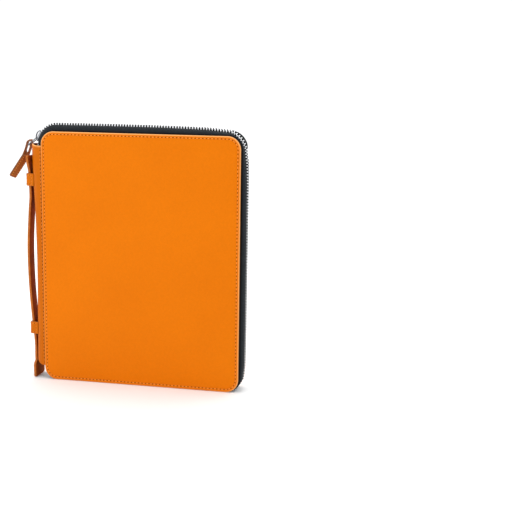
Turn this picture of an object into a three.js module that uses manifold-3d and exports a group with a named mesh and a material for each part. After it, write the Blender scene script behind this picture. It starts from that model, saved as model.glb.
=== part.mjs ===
// A zipped travel document folder in leather, closed and standing on its lower edge.
// Millimetres. X to the right, Y to the back, Z up. The spine and handle are at the left, -X.
import * as THREE from "three";
import { mergeVertices } from "three/addons/utils/BufferGeometryUtils.js";
import Module from "manifold-3d";

const wasm = await Module();
wasm.setup();

// Gap between pieces that touch on the real folder
const GAP = 0.3;

// Padded covers
const COVER_WIDTH = 217;
const COVER_HEIGHT = 270;
const COVER_CORNER = 14;
const COVER_THICK = 4;
const FOLDER_THICK = 28;
const STITCH_INSET = 3;
const CORNER_STEPS = 7;

// Edge of a cover from its inner face to the crown: inset in stitch insets, rise in cover thicknesses
const COVER_PROFILE = [
  { inset: 0.2, rise: 0 },
  { inset: 0, rise: 0.12 },
  { inset: 0, rise: 0.68 },
  { inset: 0.12, rise: 0.82 },
  { inset: 0.42, rise: 0.91 },
  { inset: 0.75, rise: 0.88 },
  { inset: 1, rise: 0.82 },
  { inset: 1.3, rise: 0.88 },
  { inset: 2.2, rise: 0.93 },
  { inset: 9, rise: 0.98 },
  { inset: 22, rise: 1 },
];

// Spine: a curved leather wall with open ends
const SPINE_WALL = 2;
const SPINE_SEAM_RISE = 2.6;
const SPINE_BULGE = 12.8;
const SPINE_SQUARENESS = 2.5;
const SPINE_SHORT_TOP = 15.6;
const SPINE_SHORT_BOTTOM = 14.6;
const SPINE_CREST_UP_TOP = 2;
const SPINE_CREST_UP_BOTTOM = 6;
const SPINE_STEPS = 16;
const SPINE_ROWS = 10;

// Bulge of the spine, in spine bulges, by share of its height
const SPINE_SWELL = [
  { up: 0, bulge: 0.87 },
  { up: 0.1, bulge: 0.85 },
  { up: 0.2, bulge: 0.82 },
  { up: 0.4, bulge: 0.775 },
  { up: 0.52, bulge: 0.785 },
  { up: 0.64, bulge: 0.81 },
  { up: 0.74, bulge: 0.88 },
  { up: 0.8, bulge: 0.95 },
  { up: 0.89, bulge: 1 },
  { up: 1, bulge: 1.06 },
];

// Zip, from inside the spine's top end round three sides to inside its bottom end
const ZIP_PROUD = 8.3;
const ZIP_FLOOR_CLEARANCE = 0.5;
const ZIP_TAIL = 22;
const TAPE_THICK = 1.1;
const TAPE_TUCK = 4;
const TAPE_ROLL = 1.5;
const TAPE_STEPS = 6;
const CHAIN_WIDTH = 6;
const CHAIN_THICK = 2.6;
const TAPE_BULGE = 3;
const TAIL_STOPS = [0.5, 1];
const CORNER_STOPS = [0.125, 0.25, 0.375, 0.5, 0.625, 0.75, 0.875, 1];
const SIDE_STOPS = [0.04, 0.09, 0.18, 0.35, 0.65, 0.82, 0.91, 0.96, 1];

// How far the teeth stand out from the covers' outline, in zip prouds. The place counts the legs of the
// route: 0 the upper tail, 1 the upper spine corner, 2 the top, 4 the side, 6 the bottom, 8 the lower tail
const ZIP_RISE = [
  { place: 0, rise: 0.84 },
  { place: 1, rise: 0.86 },
  { place: 1.5, rise: 0.96 },
  { place: 2, rise: 1 },
  { place: 2.5, rise: 1 },
  { place: 2.85, rise: 0.88 },
  { place: 3, rise: 0.62 },
  { place: 3.3, rise: 0.3 },
  { place: 3.7, rise: 0.22 },
  { place: 4, rise: 0.36 },
  { place: 4.06, rise: 0.6 },
  { place: 4.14, rise: 0.66 },
  { place: 4.6, rise: 0.64 },
  { place: 4.94, rise: 0.57 },
  { place: 5, rise: 0.4 },
  { place: 5.25, rise: 0.18 },
  { place: 6, rise: 0.12 },
  { place: 7, rise: 0.12 },
  { place: 8, rise: 0.3 },
  { place: 9, rise: 0.7 },
];

// Slider, on the corner next to the spine's upper end
const SLIDER_ANGLE = 23.5;
const SLIDER_LENGTH = 12;
const SLIDER_WIDTH = 9.6;
const SLIDER_NOSE = 6.6;
const SLIDER_PLATE = 1.5;
const SLIDER_SLOT = 2.9;
const SLIDER_POST = 4;
const SLIDER_TAIL = { wide: 0.72, bend: 0.8, full: 0.3 };
const BRIDGE_LENGTH = 11;
const BRIDGE_HEIGHT = 3.8;
const BRIDGE_STRIP = 1.1;
const BRIDGE_WIDTH = 2.2;

// Pull: a wire ring under the bridge, with a folded leather tab
const RING_WIRE = 1.2;
const RING_SIDES = 8;
const RING_BENDS = [0, 30, 60, 90];
const RING_LENGTH = 13;
const RING_WIDTH = 6.6;
const RING_ANGLE = 41;
const TAB_LEATHER = 1.4;
const TAB_WIDTH = 8;
const TAB_DROP = 6.3;
const TAB_NECK = 6;
const TAB_TAIL = 22;
const TAB_FLARE = 1.6;
const TAB_FLARED_SHARE = 0.3;
const TAB_HEAD_ANGLE = 70;
const TAB_TAIL_ANGLE = 55.1;
const TAB_TWIST_ANGLE = 34;
const TAB_TWISTED_SHARE = 0.6;
const TAB_STEPS = 12;
const TAB_NECK_STEPS = 6;
const TAB_LOOP_STEPS = 26;
const TAB_LOOP_CLOSED = 2;

// Middle of the leather where it loops round the ring's far bar, measured from the bar's centre,
// from the tab's outer layer over the top to its inner layer
const TAB_LOOP = [
  { x: -4.45, z: -5.51 },
  { x: -3.6, z: -3.1 },
  { x: -2.75, z: -0.4 },
  { x: -1.95, z: 2.2 },
  { x: -1.2, z: 3.75 },
  { x: 0.1, z: 4.75 },
  { x: 1.5, z: 5.45 },
  { x: 2.6, z: 5.45 },
  { x: 3, z: 4.4 },
  { x: 2.7, z: 2.6 },
  { x: 2.25, z: 0.4 },
  { x: 1.65, z: -2.2 },
  { x: 0.85, z: -4.7 },
  { x: -0.13, z: -7.09 },
];

// Handle strap and the two leather keepers that hold it to the spine
const STRAP_THICK = 2.6;
const STRAP_WIDTH = 13;
const STRAP_END_WIDTH = 24;
const STRAP_BOW = 7.4;
const STRAP_BOTTOM = 0.8;
const STRAP_DROP = 26.5;
const STRAP_FOOT = 14;
const STRAP_SHOULDER = 3.5;
const STRAP_HEAD = 3;
const STRAP_TAPER = 16;
const STRAP_EDGE = 0.5;
const STRAP_STEPS = 20;
const KEEPER_HEIGHT = 13.5;
const KEEPER_WALL = 1.5;
const KEEPER_PLAY = 0.4;
const KEEPER_FOOT = 1.2;
const KEEPER_ROUND_STEPS = 3;
const KEEPER_LEVELS = [0, 0.25, 0.5, 0.75, 1];
const KEEPER_STEPS = [0, 0.35, 0.7, 1];
const UPPER_KEEPER_DROP = 45.5;
const LOWER_KEEPER_RISE = 48.5;

// How far the strap stands off the spine, in strap bows, by share of its length from the bottom
const STRAP_RISE = [
  { up: 0, bow: -0.1 },
  { up: 0.045, bow: -0.08 },
  { up: 0.09, bow: 0.01 },
  { up: 0.13, bow: 0.01 },
  { up: 0.165, bow: 0.07 },
  { up: 0.215, bow: 0.25 },
  { up: 0.28, bow: 0.49 },
  { up: 0.37, bow: 0.77 },
  { up: 0.46, bow: 0.95 },
  { up: 0.55, bow: 1 },
  { up: 0.645, bow: 0.91 },
  { up: 0.735, bow: 0.65 },
  { up: 0.78, bow: 0.47 },
  { up: 0.825, bow: 0.27 },
  { up: 0.87, bow: 0.24 },
  { up: 0.935, bow: 0.25 },
  { up: 1, bow: 0.18 },
];

// Lining and pockets
const LINING_THICK = 1;
const POCKET_SHEET = 0.9;
const POCKET_MARGIN = 8;
const POCKET_CORNER = 6;
const DOCUMENT_POCKET_SHARE = 0.56;
const CARD_SLOTS = 3;
const CARD_SLOT_WIDTH = 84;
const CARD_SLOT_DEPTH = 62;
const CARD_SLOT_STEP = 14;
const PASSPORT_POCKET_HEIGHT = 100;
const PASSPORT_NOTCH = 12;
const PEN_LOOP_BORE = 11;
const PEN_LOOP_WALL = 1.2;
const PEN_LOOP_HEIGHT = 18;
const PEN_LOOP_DROP = 42;

// Colours
const ORANGE = 0xea7a16;
const ORANGE_SHADE = 0xd9690f;
const TAB_BROWN = 0xb4622a;
const TAPE_GREY = 0x2f3536;
const LINING_GREY = 0x2c3335;
const SILVER = 0xc9cbcd;

// Places that follow from the sizes above
const coverHalf = COVER_WIDTH / 2;
const innerHalf = FOLDER_THICK / 2 - COVER_THICK;
const spineHalf = innerHalf + SPINE_SEAM_RISE;
const spineSeamX = -coverHalf - GAP;
const zipCoreOffset = CHAIN_THICK / 2;
const strapTop = COVER_HEIGHT - STRAP_DROP;
const upperKeeperLow = COVER_HEIGHT - UPPER_KEEPER_DROP - KEEPER_HEIGHT;
const radians = THREE.MathUtils.degToRad;

function leather(color) {
  return new THREE.MeshStandardMaterial({ color, roughness: 0.5, metalness: 0 });
}

function fabric(color) {
  return new THREE.MeshStandardMaterial({ color, roughness: 0.85, metalness: 0 });
}

function metal(color) {
  return new THREE.MeshStandardMaterial({ color, roughness: 0.25, metalness: 1 });
}

// Value of a column of a table at a share of the length, smooth between its rows
function fromTable(rows, at, place, column) {
  const last = rows.length - 1;
  let i = 0;
  while (i < last - 1 && rows[i + 1][at] < place) i += 1;
  const slope = (k) => {
    if (k === 0 || k === last) return 0;
    return (rows[k + 1][column] - rows[k - 1][column]) / (rows[k + 1][at] - rows[k - 1][at]);
  };
  const span = rows[i + 1][at] - rows[i][at];
  const t = THREE.MathUtils.clamp((place - rows[i][at]) / span, 0, 1);
  const hold = 2 * t ** 3 - 3 * t ** 2 + 1;
  const reach = 3 * t ** 2 - 2 * t ** 3;
  return (
    hold * rows[i][column] +
    reach * rows[i + 1][column] +
    span * ((t ** 3 - 2 * t ** 2 + t) * slope(i) + (t ** 3 - t ** 2) * slope(i + 1))
  );
}

// Closed geometry from points and triangles, turned so that its faces point out
function closedGeometry(points, triangles) {
  let volume = 0;
  for (const [a, b, c] of triangles) {
    volume += points[a].dot(new THREE.Vector3().crossVectors(points[b], points[c]));
  }
  const index = triangles.flatMap(([a, b, c]) => (volume < 0 ? [a, c, b] : [a, b, c]));
  const geometry = new THREE.BufferGeometry().setFromPoints(points);
  geometry.setIndex(index);
  geometry.computeVertexNormals();
  return geometry;
}

// Solid through rings of equally many points, capped at both ends or joined end to end
function loft(rings, endless = false) {
  const count = rings[0].length;
  const points = rings.flat();
  const triangles = [];
  const bands = endless ? rings.length : rings.length - 1;
  for (let i = 0; i < bands; i += 1) {
    const near = i * count;
    const far = ((i + 1) % rings.length) * count;
    for (let j = 0; j < count; j += 1) {
      const next = (j + 1) % count;
      triangles.push([near + j, near + next, far + j]);
      triangles.push([near + next, far + next, far + j]);
    }
  }
  if (!endless) {
    const middle = (ring) => {
      const sum = new THREE.Vector3();
      ring.forEach((p) => sum.add(p));
      return sum.divideScalar(count);
    };
    const first = points.push(middle(rings[0])) - 1;
    const last = points.push(middle(rings[rings.length - 1])) - 1;
    const end = (rings.length - 1) * count;
    for (let j = 0; j < count; j += 1) {
      const next = (j + 1) % count;
      triangles.push([first, next, j]);
      triangles.push([last, end + j, end + next]);
    }
  }
  return closedGeometry(points, triangles);
}

// Wall between two grids of points, closed along its four borders
function wall(outer, inner) {
  const rings = outer.map((row, i) => [...row, ...inner[i].slice().reverse()]);
  const count = rings[0].length;
  const columns = outer[0].length;
  const points = rings.flat();
  const triangles = [];
  for (let i = 0; i + 1 < rings.length; i += 1) {
    for (let j = 0; j < count; j += 1) {
      const next = (j + 1) % count;
      triangles.push([i * count + j, i * count + next, (i + 1) * count + j]);
      triangles.push([i * count + next, (i + 1) * count + next, (i + 1) * count + j]);
    }
  }
  const end = (rings.length - 1) * count;
  for (let j = 0; j + 1 < columns; j += 1) {
    const k = count - 1 - j;
    triangles.push([j, k, j + 1], [j + 1, k, k - 1]);
    triangles.push([end + j, end + j + 1, end + k], [end + j + 1, end + k - 1, end + k]);
  }
  return closedGeometry(points, triangles);
}

function solidOf(geometry) {
  const bare = geometry.clone();
  bare.deleteAttribute("normal");
  bare.deleteAttribute("uv");
  const merged = mergeVertices(bare, 1e-4);
  return new wasm.Manifold(
    new wasm.Mesh({
      numProp: 3,
      vertProperties: new Float32Array(merged.attributes.position.array),
      triVerts: new Uint32Array(merged.index.array),
    }),
  );
}

function join(geometries) {
  const whole = geometries.map(solidOf).reduce((sum, next) => sum.add(next));
  const mesh = whole.getMesh();
  const geometry = new THREE.BufferGeometry();
  geometry.setAttribute("position", new THREE.BufferAttribute(mesh.vertProperties, 3));
  geometry.setIndex(new THREE.BufferAttribute(mesh.triVerts, 1));
  geometry.computeVertexNormals();
  return geometry;
}

function piece(name, geometry, material) {
  const mesh = new THREE.Mesh(geometry, material);
  mesh.name = name;
  return mesh;
}

// Rounded rectangle in X and Z around the covers' outline, inset from it
function coverOutline(inset) {
  const radius = Math.max(COVER_CORNER - inset, 1);
  const right = coverHalf - inset - radius;
  const top = COVER_HEIGHT - inset - radius;
  const corners = [
    { x: right, z: top, from: 0 },
    { x: -right, z: top, from: 90 },
    { x: -right, z: inset + radius, from: 180 },
    { x: right, z: inset + radius, from: 270 },
  ];
  const points = [];
  for (const { x, z, from } of corners) {
    for (let k = 0; k <= CORNER_STEPS; k += 1) {
      const angle = radians(from + (90 * k) / CORNER_STEPS);
      points.push(new THREE.Vector2(x + radius * Math.cos(angle), z + radius * Math.sin(angle)));
    }
  }
  return points;
}

// Padded board with a rolled edge, a sunk stitch line and a slight crown; side is -1 front, 1 back
function cover(name, side) {
  const rings = COVER_PROFILE.map(({ inset, rise }) =>
    coverOutline(inset * STITCH_INSET).map(
      (p) => new THREE.Vector3(p.x, side * (innerHalf + rise * COVER_THICK), p.y),
    ),
  );
  return piece(name, loft(rings), leather(ORANGE));
}

function spineBulge(z) {
  const low = SPINE_SHORT_BOTTOM;
  const high = COVER_HEIGHT - SPINE_SHORT_TOP;
  const up = THREE.MathUtils.clamp((z - low) / (high - low), 0, 1);
  return SPINE_BULGE * fromTable(SPINE_SWELL, "up", up, "bulge");
}

// Point of the spine's outer surface, moved out along both half axes; turn is -90 at the front seam
function spinePoint(turn, z, out) {
  const power = 2 / SPINE_SQUARENESS;
  const across = Math.sin(radians(turn));
  const outward = Math.max(Math.cos(radians(turn)), 0);
  return new THREE.Vector3(
    spineSeamX - (spineBulge(z) + out) * outward ** power,
    (spineHalf + out) * Math.sign(across) * Math.abs(across) ** power,
    z,
  );
}

function spineEnds(turn) {
  const crest = 1 - Math.sin(radians(turn)) ** 2;
  return {
    low: SPINE_SHORT_BOTTOM + SPINE_CREST_UP_BOTTOM * crest,
    high: COVER_HEIGHT - SPINE_SHORT_TOP + SPINE_CREST_UP_TOP * crest,
  };
}

function spine() {
  const skin = (out) => {
    const rows = [];
    for (let i = 0; i <= SPINE_ROWS; i += 1) {
      const row = [];
      for (let j = 0; j <= SPINE_STEPS; j += 1) {
        const turn = -90 + (180 * j) / SPINE_STEPS;
        const { low, high } = spineEnds(turn);
        row.push(spinePoint(turn, low + ((high - low) * i) / SPINE_ROWS, out));
      }
      rows.push(row);
    }
    return rows;
  };
  return piece("spine", wall(skin(0), skin(-SPINE_WALL)), leather(ORANGE_SHADE));
}

// Route of the zip round the covers' outline, from inside the spine's top to inside its bottom
const straightX = COVER_WIDTH - 2 * COVER_CORNER;
const straightZ = COVER_HEIGHT - 2 * COVER_CORNER;
const cornerRun = (Math.PI / 2) * COVER_CORNER;
const ZIP_ROUTE = [
  { run: ZIP_TAIL, turn: false, stops: TAIL_STOPS },
  { run: cornerRun, turn: true, stops: CORNER_STOPS },
  { run: straightX, turn: false, stops: SIDE_STOPS },
  { run: cornerRun, turn: true, stops: CORNER_STOPS },
  { run: straightZ, turn: false, stops: SIDE_STOPS },
  { run: cornerRun, turn: true, stops: CORNER_STOPS },
  { run: straightX, turn: false, stops: SIDE_STOPS },
  { run: cornerRun, turn: true, stops: CORNER_STOPS },
  { run: ZIP_TAIL, turn: false, stops: TAIL_STOPS },
];

// Place on the covers' outline at a distance along the zip, with its outward direction
function zipStation(distance) {
  const position = new THREE.Vector2(-coverHalf, COVER_HEIGHT - COVER_CORNER - ZIP_TAIL);
  let heading = Math.PI / 2;
  let left = distance;
  let place = 0;
  for (const { run, turn } of ZIP_ROUTE) {
    const step = Math.min(left, run);
    place += step / run;
    if (turn) {
      const centre = new THREE.Vector2(Math.sin(heading), -Math.cos(heading));
      centre.multiplyScalar(COVER_CORNER).add(position);
      heading -= step / COVER_CORNER;
      position.set(-Math.sin(heading), Math.cos(heading)).multiplyScalar(COVER_CORNER).add(centre);
    } else {
      position.x += step * Math.cos(heading);
      position.y += step * Math.sin(heading);
    }
    left -= step;
    if (left <= 0) break;
  }
  return { position, place, out: new THREE.Vector2(-Math.sin(heading), Math.cos(heading)) };
}

// The floor under the folder presses the lower run of the zip back in between the covers
function roomAtFloor({ position, out }) {
  return out.y < -1e-6 ? (position.y - ZIP_FLOOR_CLEARANCE) / -out.y : Infinity;
}

function zipProud(station) {
  const free = ZIP_PROUD * fromTable(ZIP_RISE, "place", station.place, "rise");
  return Math.min(free, roomAtFloor(station));
}

function zipDistances(from = 0) {
  const distances = [from];
  let start = 0;
  for (const { run, stops } of ZIP_ROUTE) {
    for (const stop of stops) {
      const distance = start + run * stop;
      if (distance > from + GAP) distances.push(distance);
    }
    start += run;
  }
  return distances;
}

function placed(station, out, y) {
  return new THREE.Vector3(
    station.position.x + station.out.x * out,
    y,
    station.position.y + station.out.y * out,
  );
}

// Section of the front tape, tucked under the cover, bulging out and running in to the teeth
function tapeSection(station) {
  const end = zipProud(station) - zipCoreOffset + TAPE_THICK / 2;
  const bulge = Math.min(Math.max(end, TAPE_BULGE), roomAtFloor(station));
  const edgeY = -innerHalf + GAP;
  const roll = new THREE.QuadraticBezierCurve(
    new THREE.Vector2(-TAPE_ROLL, edgeY),
    new THREE.Vector2(bulge, edgeY),
    new THREE.Vector2(end, -CHAIN_WIDTH / 2 - GAP),
  );
  const outer = [new THREE.Vector2(-TAPE_TUCK, edgeY), ...roll.getPoints(TAPE_STEPS)];
  const inner = outer.map((p, i) => {
    const before = outer[Math.max(i - 1, 0)];
    const after = outer[Math.min(i + 1, outer.length - 1)];
    const along = after.clone().sub(before).normalize();
    return new THREE.Vector2(p.x - along.y * TAPE_THICK, p.y + along.x * TAPE_THICK);
  });
  return { outer, inner };
}

function zipTape(name, side) {
  const outer = [];
  const inner = [];
  for (const distance of zipDistances()) {
    const station = zipStation(distance);
    const section = tapeSection(station);
    outer.push(section.outer.map((p) => placed(station, p.x, -side * p.y)));
    inner.push(section.inner.map((p) => placed(station, p.x, -side * p.y)));
  }
  return piece(name, wall(outer, inner), fabric(TAPE_GREY));
}

const sliderDistance = ZIP_TAIL + radians(SLIDER_ANGLE) * COVER_CORNER;
const sliderStation = zipStation(sliderDistance);
const sliderCore = zipProud(sliderStation) - zipCoreOffset;
const sliderRadius = COVER_CORNER + sliderCore;
const sliderHalfTurn = (SLIDER_LENGTH / 2 + GAP) / sliderRadius;

function zipChain() {
  const start = sliderDistance + sliderHalfTurn * COVER_CORNER;
  const rings = zipDistances(start).map((distance) => {
    const station = zipStation(distance);
    const top = zipProud(station);
    const low = top - CHAIN_THICK;
    const half = CHAIN_WIDTH / 2;
    return [
      placed(station, low, -half),
      placed(station, top, -half),
      placed(station, top, half),
      placed(station, low, half),
    ];
  });
  return piece("zip_chain", loft(rings), metal(SILVER));
}

// The slider's own frame: x along the zip towards the closed teeth, y across it, z outward
const sliderFrame = new THREE.Matrix4().makeBasis(
  new THREE.Vector3(sliderStation.out.y, 0, -sliderStation.out.x),
  new THREE.Vector3(0, 1, 0),
  new THREE.Vector3(sliderStation.out.x, 0, sliderStation.out.y),
);
sliderFrame.setPosition(placed(sliderStation, sliderCore, 0));
const slotTop = TAPE_THICK / 2 + GAP;
const slotLow = slotTop - SLIDER_SLOT;
const plateTop = slotTop + SLIDER_PLATE;

function sliderPlate(from) {
  const half = SLIDER_LENGTH / 2;
  const wide = SLIDER_WIDTH / 2;
  const nose = SLIDER_NOSE / 2;
  const outline = new THREE.Shape();
  const { wide: tailWide, bend, full } = SLIDER_TAIL;
  outline.moveTo(-half, -wide * tailWide);
  outline.quadraticCurveTo(-half * bend, -wide, -half * full, -wide);
  outline.lineTo(half, -nose);
  outline.lineTo(half, nose);
  outline.lineTo(-half * full, wide);
  outline.quadraticCurveTo(-half * bend, wide, -half, wide * tailWide);
  outline.closePath();
  const plate = new THREE.ExtrudeGeometry(outline, {
    depth: SLIDER_PLATE,
    bevelEnabled: false,
    curveSegments: 4,
  });
  return plate.translate(0, 0, from);
}

function zipSlider() {
  const post = new THREE.BoxGeometry(SLIDER_POST, SLIDER_POST, SLIDER_SLOT + GAP);
  post.translate(-SLIDER_LENGTH / 4, 0, (slotTop + slotLow) / 2);
  const arch = new THREE.Shape();
  arch.absellipse(0, 0, BRIDGE_LENGTH / 2, BRIDGE_HEIGHT, 0, Math.PI, false, 0);
  arch.absellipse(0, 0, BRIDGE_LENGTH / 2 - BRIDGE_STRIP, BRIDGE_HEIGHT - BRIDGE_STRIP, Math.PI, 0, true, 0);
  arch.closePath();
  const bridge = new THREE.ExtrudeGeometry(arch, {
    depth: BRIDGE_WIDTH,
    bevelEnabled: false,
    curveSegments: 10,
  });
  bridge.rotateX(Math.PI / 2);
  bridge.translate(0, BRIDGE_WIDTH / 2, plateTop - GAP / 2);
  const body = join([sliderPlate(slotTop), sliderPlate(slotLow - SLIDER_PLATE), post, bridge]);
  return piece("zip_slider", body.applyMatrix4(sliderFrame), metal(SILVER));
}

// The ring's near bar lies under the bridge, at its lower foot, and is the pivot of the pull
const pivot = new THREE.Vector3(
  -BRIDGE_LENGTH / 2 + BRIDGE_STRIP + RING_WIRE / 2 + 3 * GAP,
  0,
  plateTop + RING_WIRE / 2 + GAP,
).applyMatrix4(sliderFrame);
const hanging = (angle) => new THREE.Vector3(-Math.cos(radians(angle)), 0, -Math.sin(radians(angle)));
const ringWay = hanging(RING_ANGLE);
const barCentre = pivot.clone().addScaledVector(ringWay, RING_LENGTH);
const across = new THREE.Vector3(0, 1, 0);

function pullRing() {
  const half = RING_WIDTH / 2;
  const bend = RING_WIRE;
  const up = new THREE.Vector3().crossVectors(ringWay, across);
  const corners = [
    { along: bend, side: half, from: 180 },
    { along: RING_LENGTH - bend, side: half, from: 90 },
    { along: RING_LENGTH - bend, side: -half, from: 0 },
    { along: bend, side: -half, from: -90 },
  ];
  const rings = [];
  for (const { along, side, from } of corners) {
    for (const turn of RING_BENDS) {
      const angle = radians(from - turn);
      const outward = new THREE.Vector3()
        .addScaledVector(ringWay, Math.cos(angle))
        .addScaledVector(across, Math.sin(angle));
      const centre = pivot
        .clone()
        .addScaledVector(ringWay, along)
        .addScaledVector(across, side - Math.sign(side) * bend)
        .addScaledVector(outward, bend);
      const ring = [];
      for (let j = 0; j < RING_SIDES; j += 1) {
        const roll = (2 * Math.PI * j) / RING_SIDES;
        ring.push(
          centre
            .clone()
            .addScaledVector(outward, (RING_WIRE / 2) * Math.cos(roll))
            .addScaledVector(up, (RING_WIRE / 2) * Math.sin(roll)),
        );
      }
      rings.push(ring);
    }
  }
  return piece("pull_ring", loft(rings, true), metal(SILVER));
}

// Eight-sided section of a strap: half width along one direction, half thickness along the other
function strapRing(centre, wideWay, thickWay, halfWidth, halfThick) {
  const edge = Math.min(STRAP_EDGE, halfThick * 0.6);
  const corners = [
    [halfWidth, halfThick - edge],
    [halfWidth - edge, halfThick],
    [-halfWidth + edge, halfThick],
    [-halfWidth, halfThick - edge],
    [-halfWidth, -halfThick + edge],
    [-halfWidth + edge, -halfThick],
    [halfWidth - edge, -halfThick],
    [halfWidth, -halfThick + edge],
  ];
  return corners.map(([w, t]) =>
    centre.clone().addScaledVector(wideWay, w).addScaledVector(thickWay, t),
  );
}

// Loop of the tab's leather round the ring's far bar
function tabLoop(width) {
  const line = new THREE.SplineCurve(TAB_LOOP.map(({ x, z }) => new THREE.Vector2(x, z)));
  const beside = (out, first, last) => {
    const points = [];
    for (let k = first; k <= last; k += 1) {
      const way = line.getTangent(k / TAB_LOOP_STEPS);
      const side = new THREE.Vector2(-way.y, way.x).multiplyScalar(out);
      points.push(line.getPoint(k / TAB_LOOP_STEPS).add(side));
    }
    return points;
  };
  const outline = new THREE.Shape(beside(TAB_LEATHER / 2, 0, TAB_LOOP_STEPS));
  const inside = beside(-TAB_LEATHER / 2, TAB_LOOP_CLOSED, TAB_LOOP_STEPS - TAB_LOOP_CLOSED);
  outline.holes.push(new THREE.Path(inside.reverse()));
  const loop = new THREE.ExtrudeGeometry(outline, { depth: width, bevelEnabled: false });
  loop.rotateX(Math.PI / 2);
  return loop.translate(barCentre.x, width / 2, barCentre.z);
}

// Leather tab looped round the ring's far bar, bent outward over the strap's end and a little twisted
function pullTab() {
  const eyeWidth = RING_WIDTH - RING_WIRE - 2 * GAP;
  const headWay = hanging(TAB_HEAD_ANGLE);
  const tailWay = hanging(TAB_TAIL_ANGLE);
  const start = barCentre.clone().addScaledVector(headWay, TAB_DROP);
  const bendPoint = start.clone().addScaledVector(headWay, TAB_NECK);
  const neckEnd = bendPoint.clone().addScaledVector(tailWay, TAB_NECK);
  const neck = new THREE.QuadraticBezierCurve3(start, bendPoint, neckEnd);
  const rings = [];
  for (let k = 0; k <= TAB_STEPS; k += 1) {
    const bend = Math.min(k / TAB_NECK_STEPS, 1);
    const beyond = Math.max((k - TAB_NECK_STEPS) / (TAB_STEPS - TAB_NECK_STEPS), 0);
    const centre = neck.getPoint(bend).addScaledVector(tailWay, TAB_TAIL * beyond);
    const way = neck.getTangent(bend);
    const twisted = Math.min(k / (TAB_STEPS * TAB_TWISTED_SHARE), 1);
    const twist = radians(TAB_TWIST_ANGLE) * Math.sin((Math.PI / 2) * twisted);
    const wideWay = across.clone().applyAxisAngle(way, twist);
    const thickWay = new THREE.Vector3().crossVectors(way, wideWay);
    const widen = THREE.MathUtils.smoothstep(k, 0, TAB_NECK_STEPS / 2);
    const halfWidth = THREE.MathUtils.lerp(eyeWidth, TAB_WIDTH, widen) / 2;
    const apart = TAB_FLARE * (1 - THREE.MathUtils.smoothstep(k, 0, TAB_STEPS * TAB_FLARED_SHARE));
    rings.push(strapRing(centre, wideWay, thickWay, halfWidth, TAB_LEATHER + apart));
  }
  return piece("pull_tab", join([tabLoop(eyeWidth), loft(rings)]), leather(TAB_BROWN));
}

// X of the strap's inner face; below the spine's lower end it lies a little further in
function strapInnerX(z) {
  const up = THREE.MathUtils.clamp((z - STRAP_BOTTOM) / (strapTop - STRAP_BOTTOM), 0, 1);
  return spineSeamX - spineBulge(z) - GAP - STRAP_BOW * fromTable(STRAP_RISE, "up", up, "bow");
}

// The strap's wide ends: a foot with shoulders below, a taper above
const footTop = STRAP_BOTTOM + STRAP_FOOT;
const headLow = strapTop - STRAP_HEAD;

function strapHalfWidth(z) {
  const foot = 1 - (z - footTop) / STRAP_SHOULDER;
  const head = 1 - (headLow - z) / STRAP_TAPER;
  const flare = THREE.MathUtils.clamp(Math.max(foot, head), 0, 1);
  return THREE.MathUtils.lerp(STRAP_WIDTH, STRAP_END_WIDTH, flare) / 2;
}

function handle() {
  const levels = [STRAP_BOTTOM, footTop];
  const low = footTop + STRAP_SHOULDER;
  const high = headLow - STRAP_TAPER;
  for (let k = 0; k <= STRAP_STEPS; k += 1) {
    levels.push(low + ((high - low) * k) / STRAP_STEPS);
  }
  levels.push(headLow, strapTop);
  const inward = new THREE.Vector3(1, 0, 0);
  const rings = levels.map((z) =>
    strapRing(
      new THREE.Vector3(strapInnerX(z) - STRAP_THICK / 2, 0, z),
      across,
      inward,
      strapHalfWidth(z),
      STRAP_THICK / 2,
    ),
  );
  return piece("handle", loft(rings), leather(ORANGE_SHADE));
}

// Leather band over the strap, with two feet that lie on the spine
function keeper(name, bottom) {
  const levels = KEEPER_LEVELS.map((share) => bottom + share * KEEPER_HEIGHT);
  const strapOuter = Math.min(...levels.map(strapInnerX)) - STRAP_THICK;
  const widest = levels.reduce((best, z) => (spineBulge(z) > spineBulge(best) ? z : best));
  const innerX = strapOuter - KEEPER_PLAY;
  const outerX = innerX - KEEPER_WALL;
  const innerY = STRAP_WIDTH / 2 + KEEPER_PLAY;
  const outerY = innerY + KEEPER_WALL;
  const onSpine = (y, out) => {
    const half = spineHalf + out;
    const share = Math.min(y / half, 1);
    const outward = (1 - share ** SPINE_SQUARENESS) ** (1 / SPINE_SQUARENESS);
    return new THREE.Vector2(spineSeamX - (spineBulge(widest) + out) * outward, y);
  };
  const footY = outerY + KEEPER_FOOT;
  const under = [
    ...KEEPER_STEPS.map((t) => onSpine(THREE.MathUtils.lerp(footY, innerY, t), GAP)),
    new THREE.Vector2(innerX, innerY),
  ];
  const rounding = new THREE.QuadraticBezierCurve(
    new THREE.Vector2(outerX, outerY - KEEPER_WALL),
    new THREE.Vector2(outerX, outerY),
    new THREE.Vector2(outerX + KEEPER_WALL, outerY),
  );
  const over = [
    ...rounding.getPoints(KEEPER_ROUND_STEPS),
    ...KEEPER_STEPS.map((t) => onSpine(THREE.MathUtils.lerp(outerY, footY, t), GAP + KEEPER_WALL)),
  ];
  const mirrored = (list) => list.map((p) => new THREE.Vector2(p.x, -p.y)).reverse();
  const outline = new THREE.Shape([...under, ...mirrored(under), ...mirrored(over), ...over]);
  const band = new THREE.ExtrudeGeometry(outline, { depth: KEEPER_HEIGHT, bevelEnabled: false });
  return piece(name, band.translate(0, 0, bottom), leather(ORANGE_SHADE));
}

// Flat sheet with an outline in X and Z, from one Y to another
function sheet(outline, nearY, farY) {
  const flat = new THREE.ExtrudeGeometry(outline, {
    depth: farY - nearY,
    bevelEnabled: false,
    curveSegments: 4,
  });
  flat.rotateX(Math.PI / 2);
  return flat.translate(0, farY, 0);
}

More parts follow.
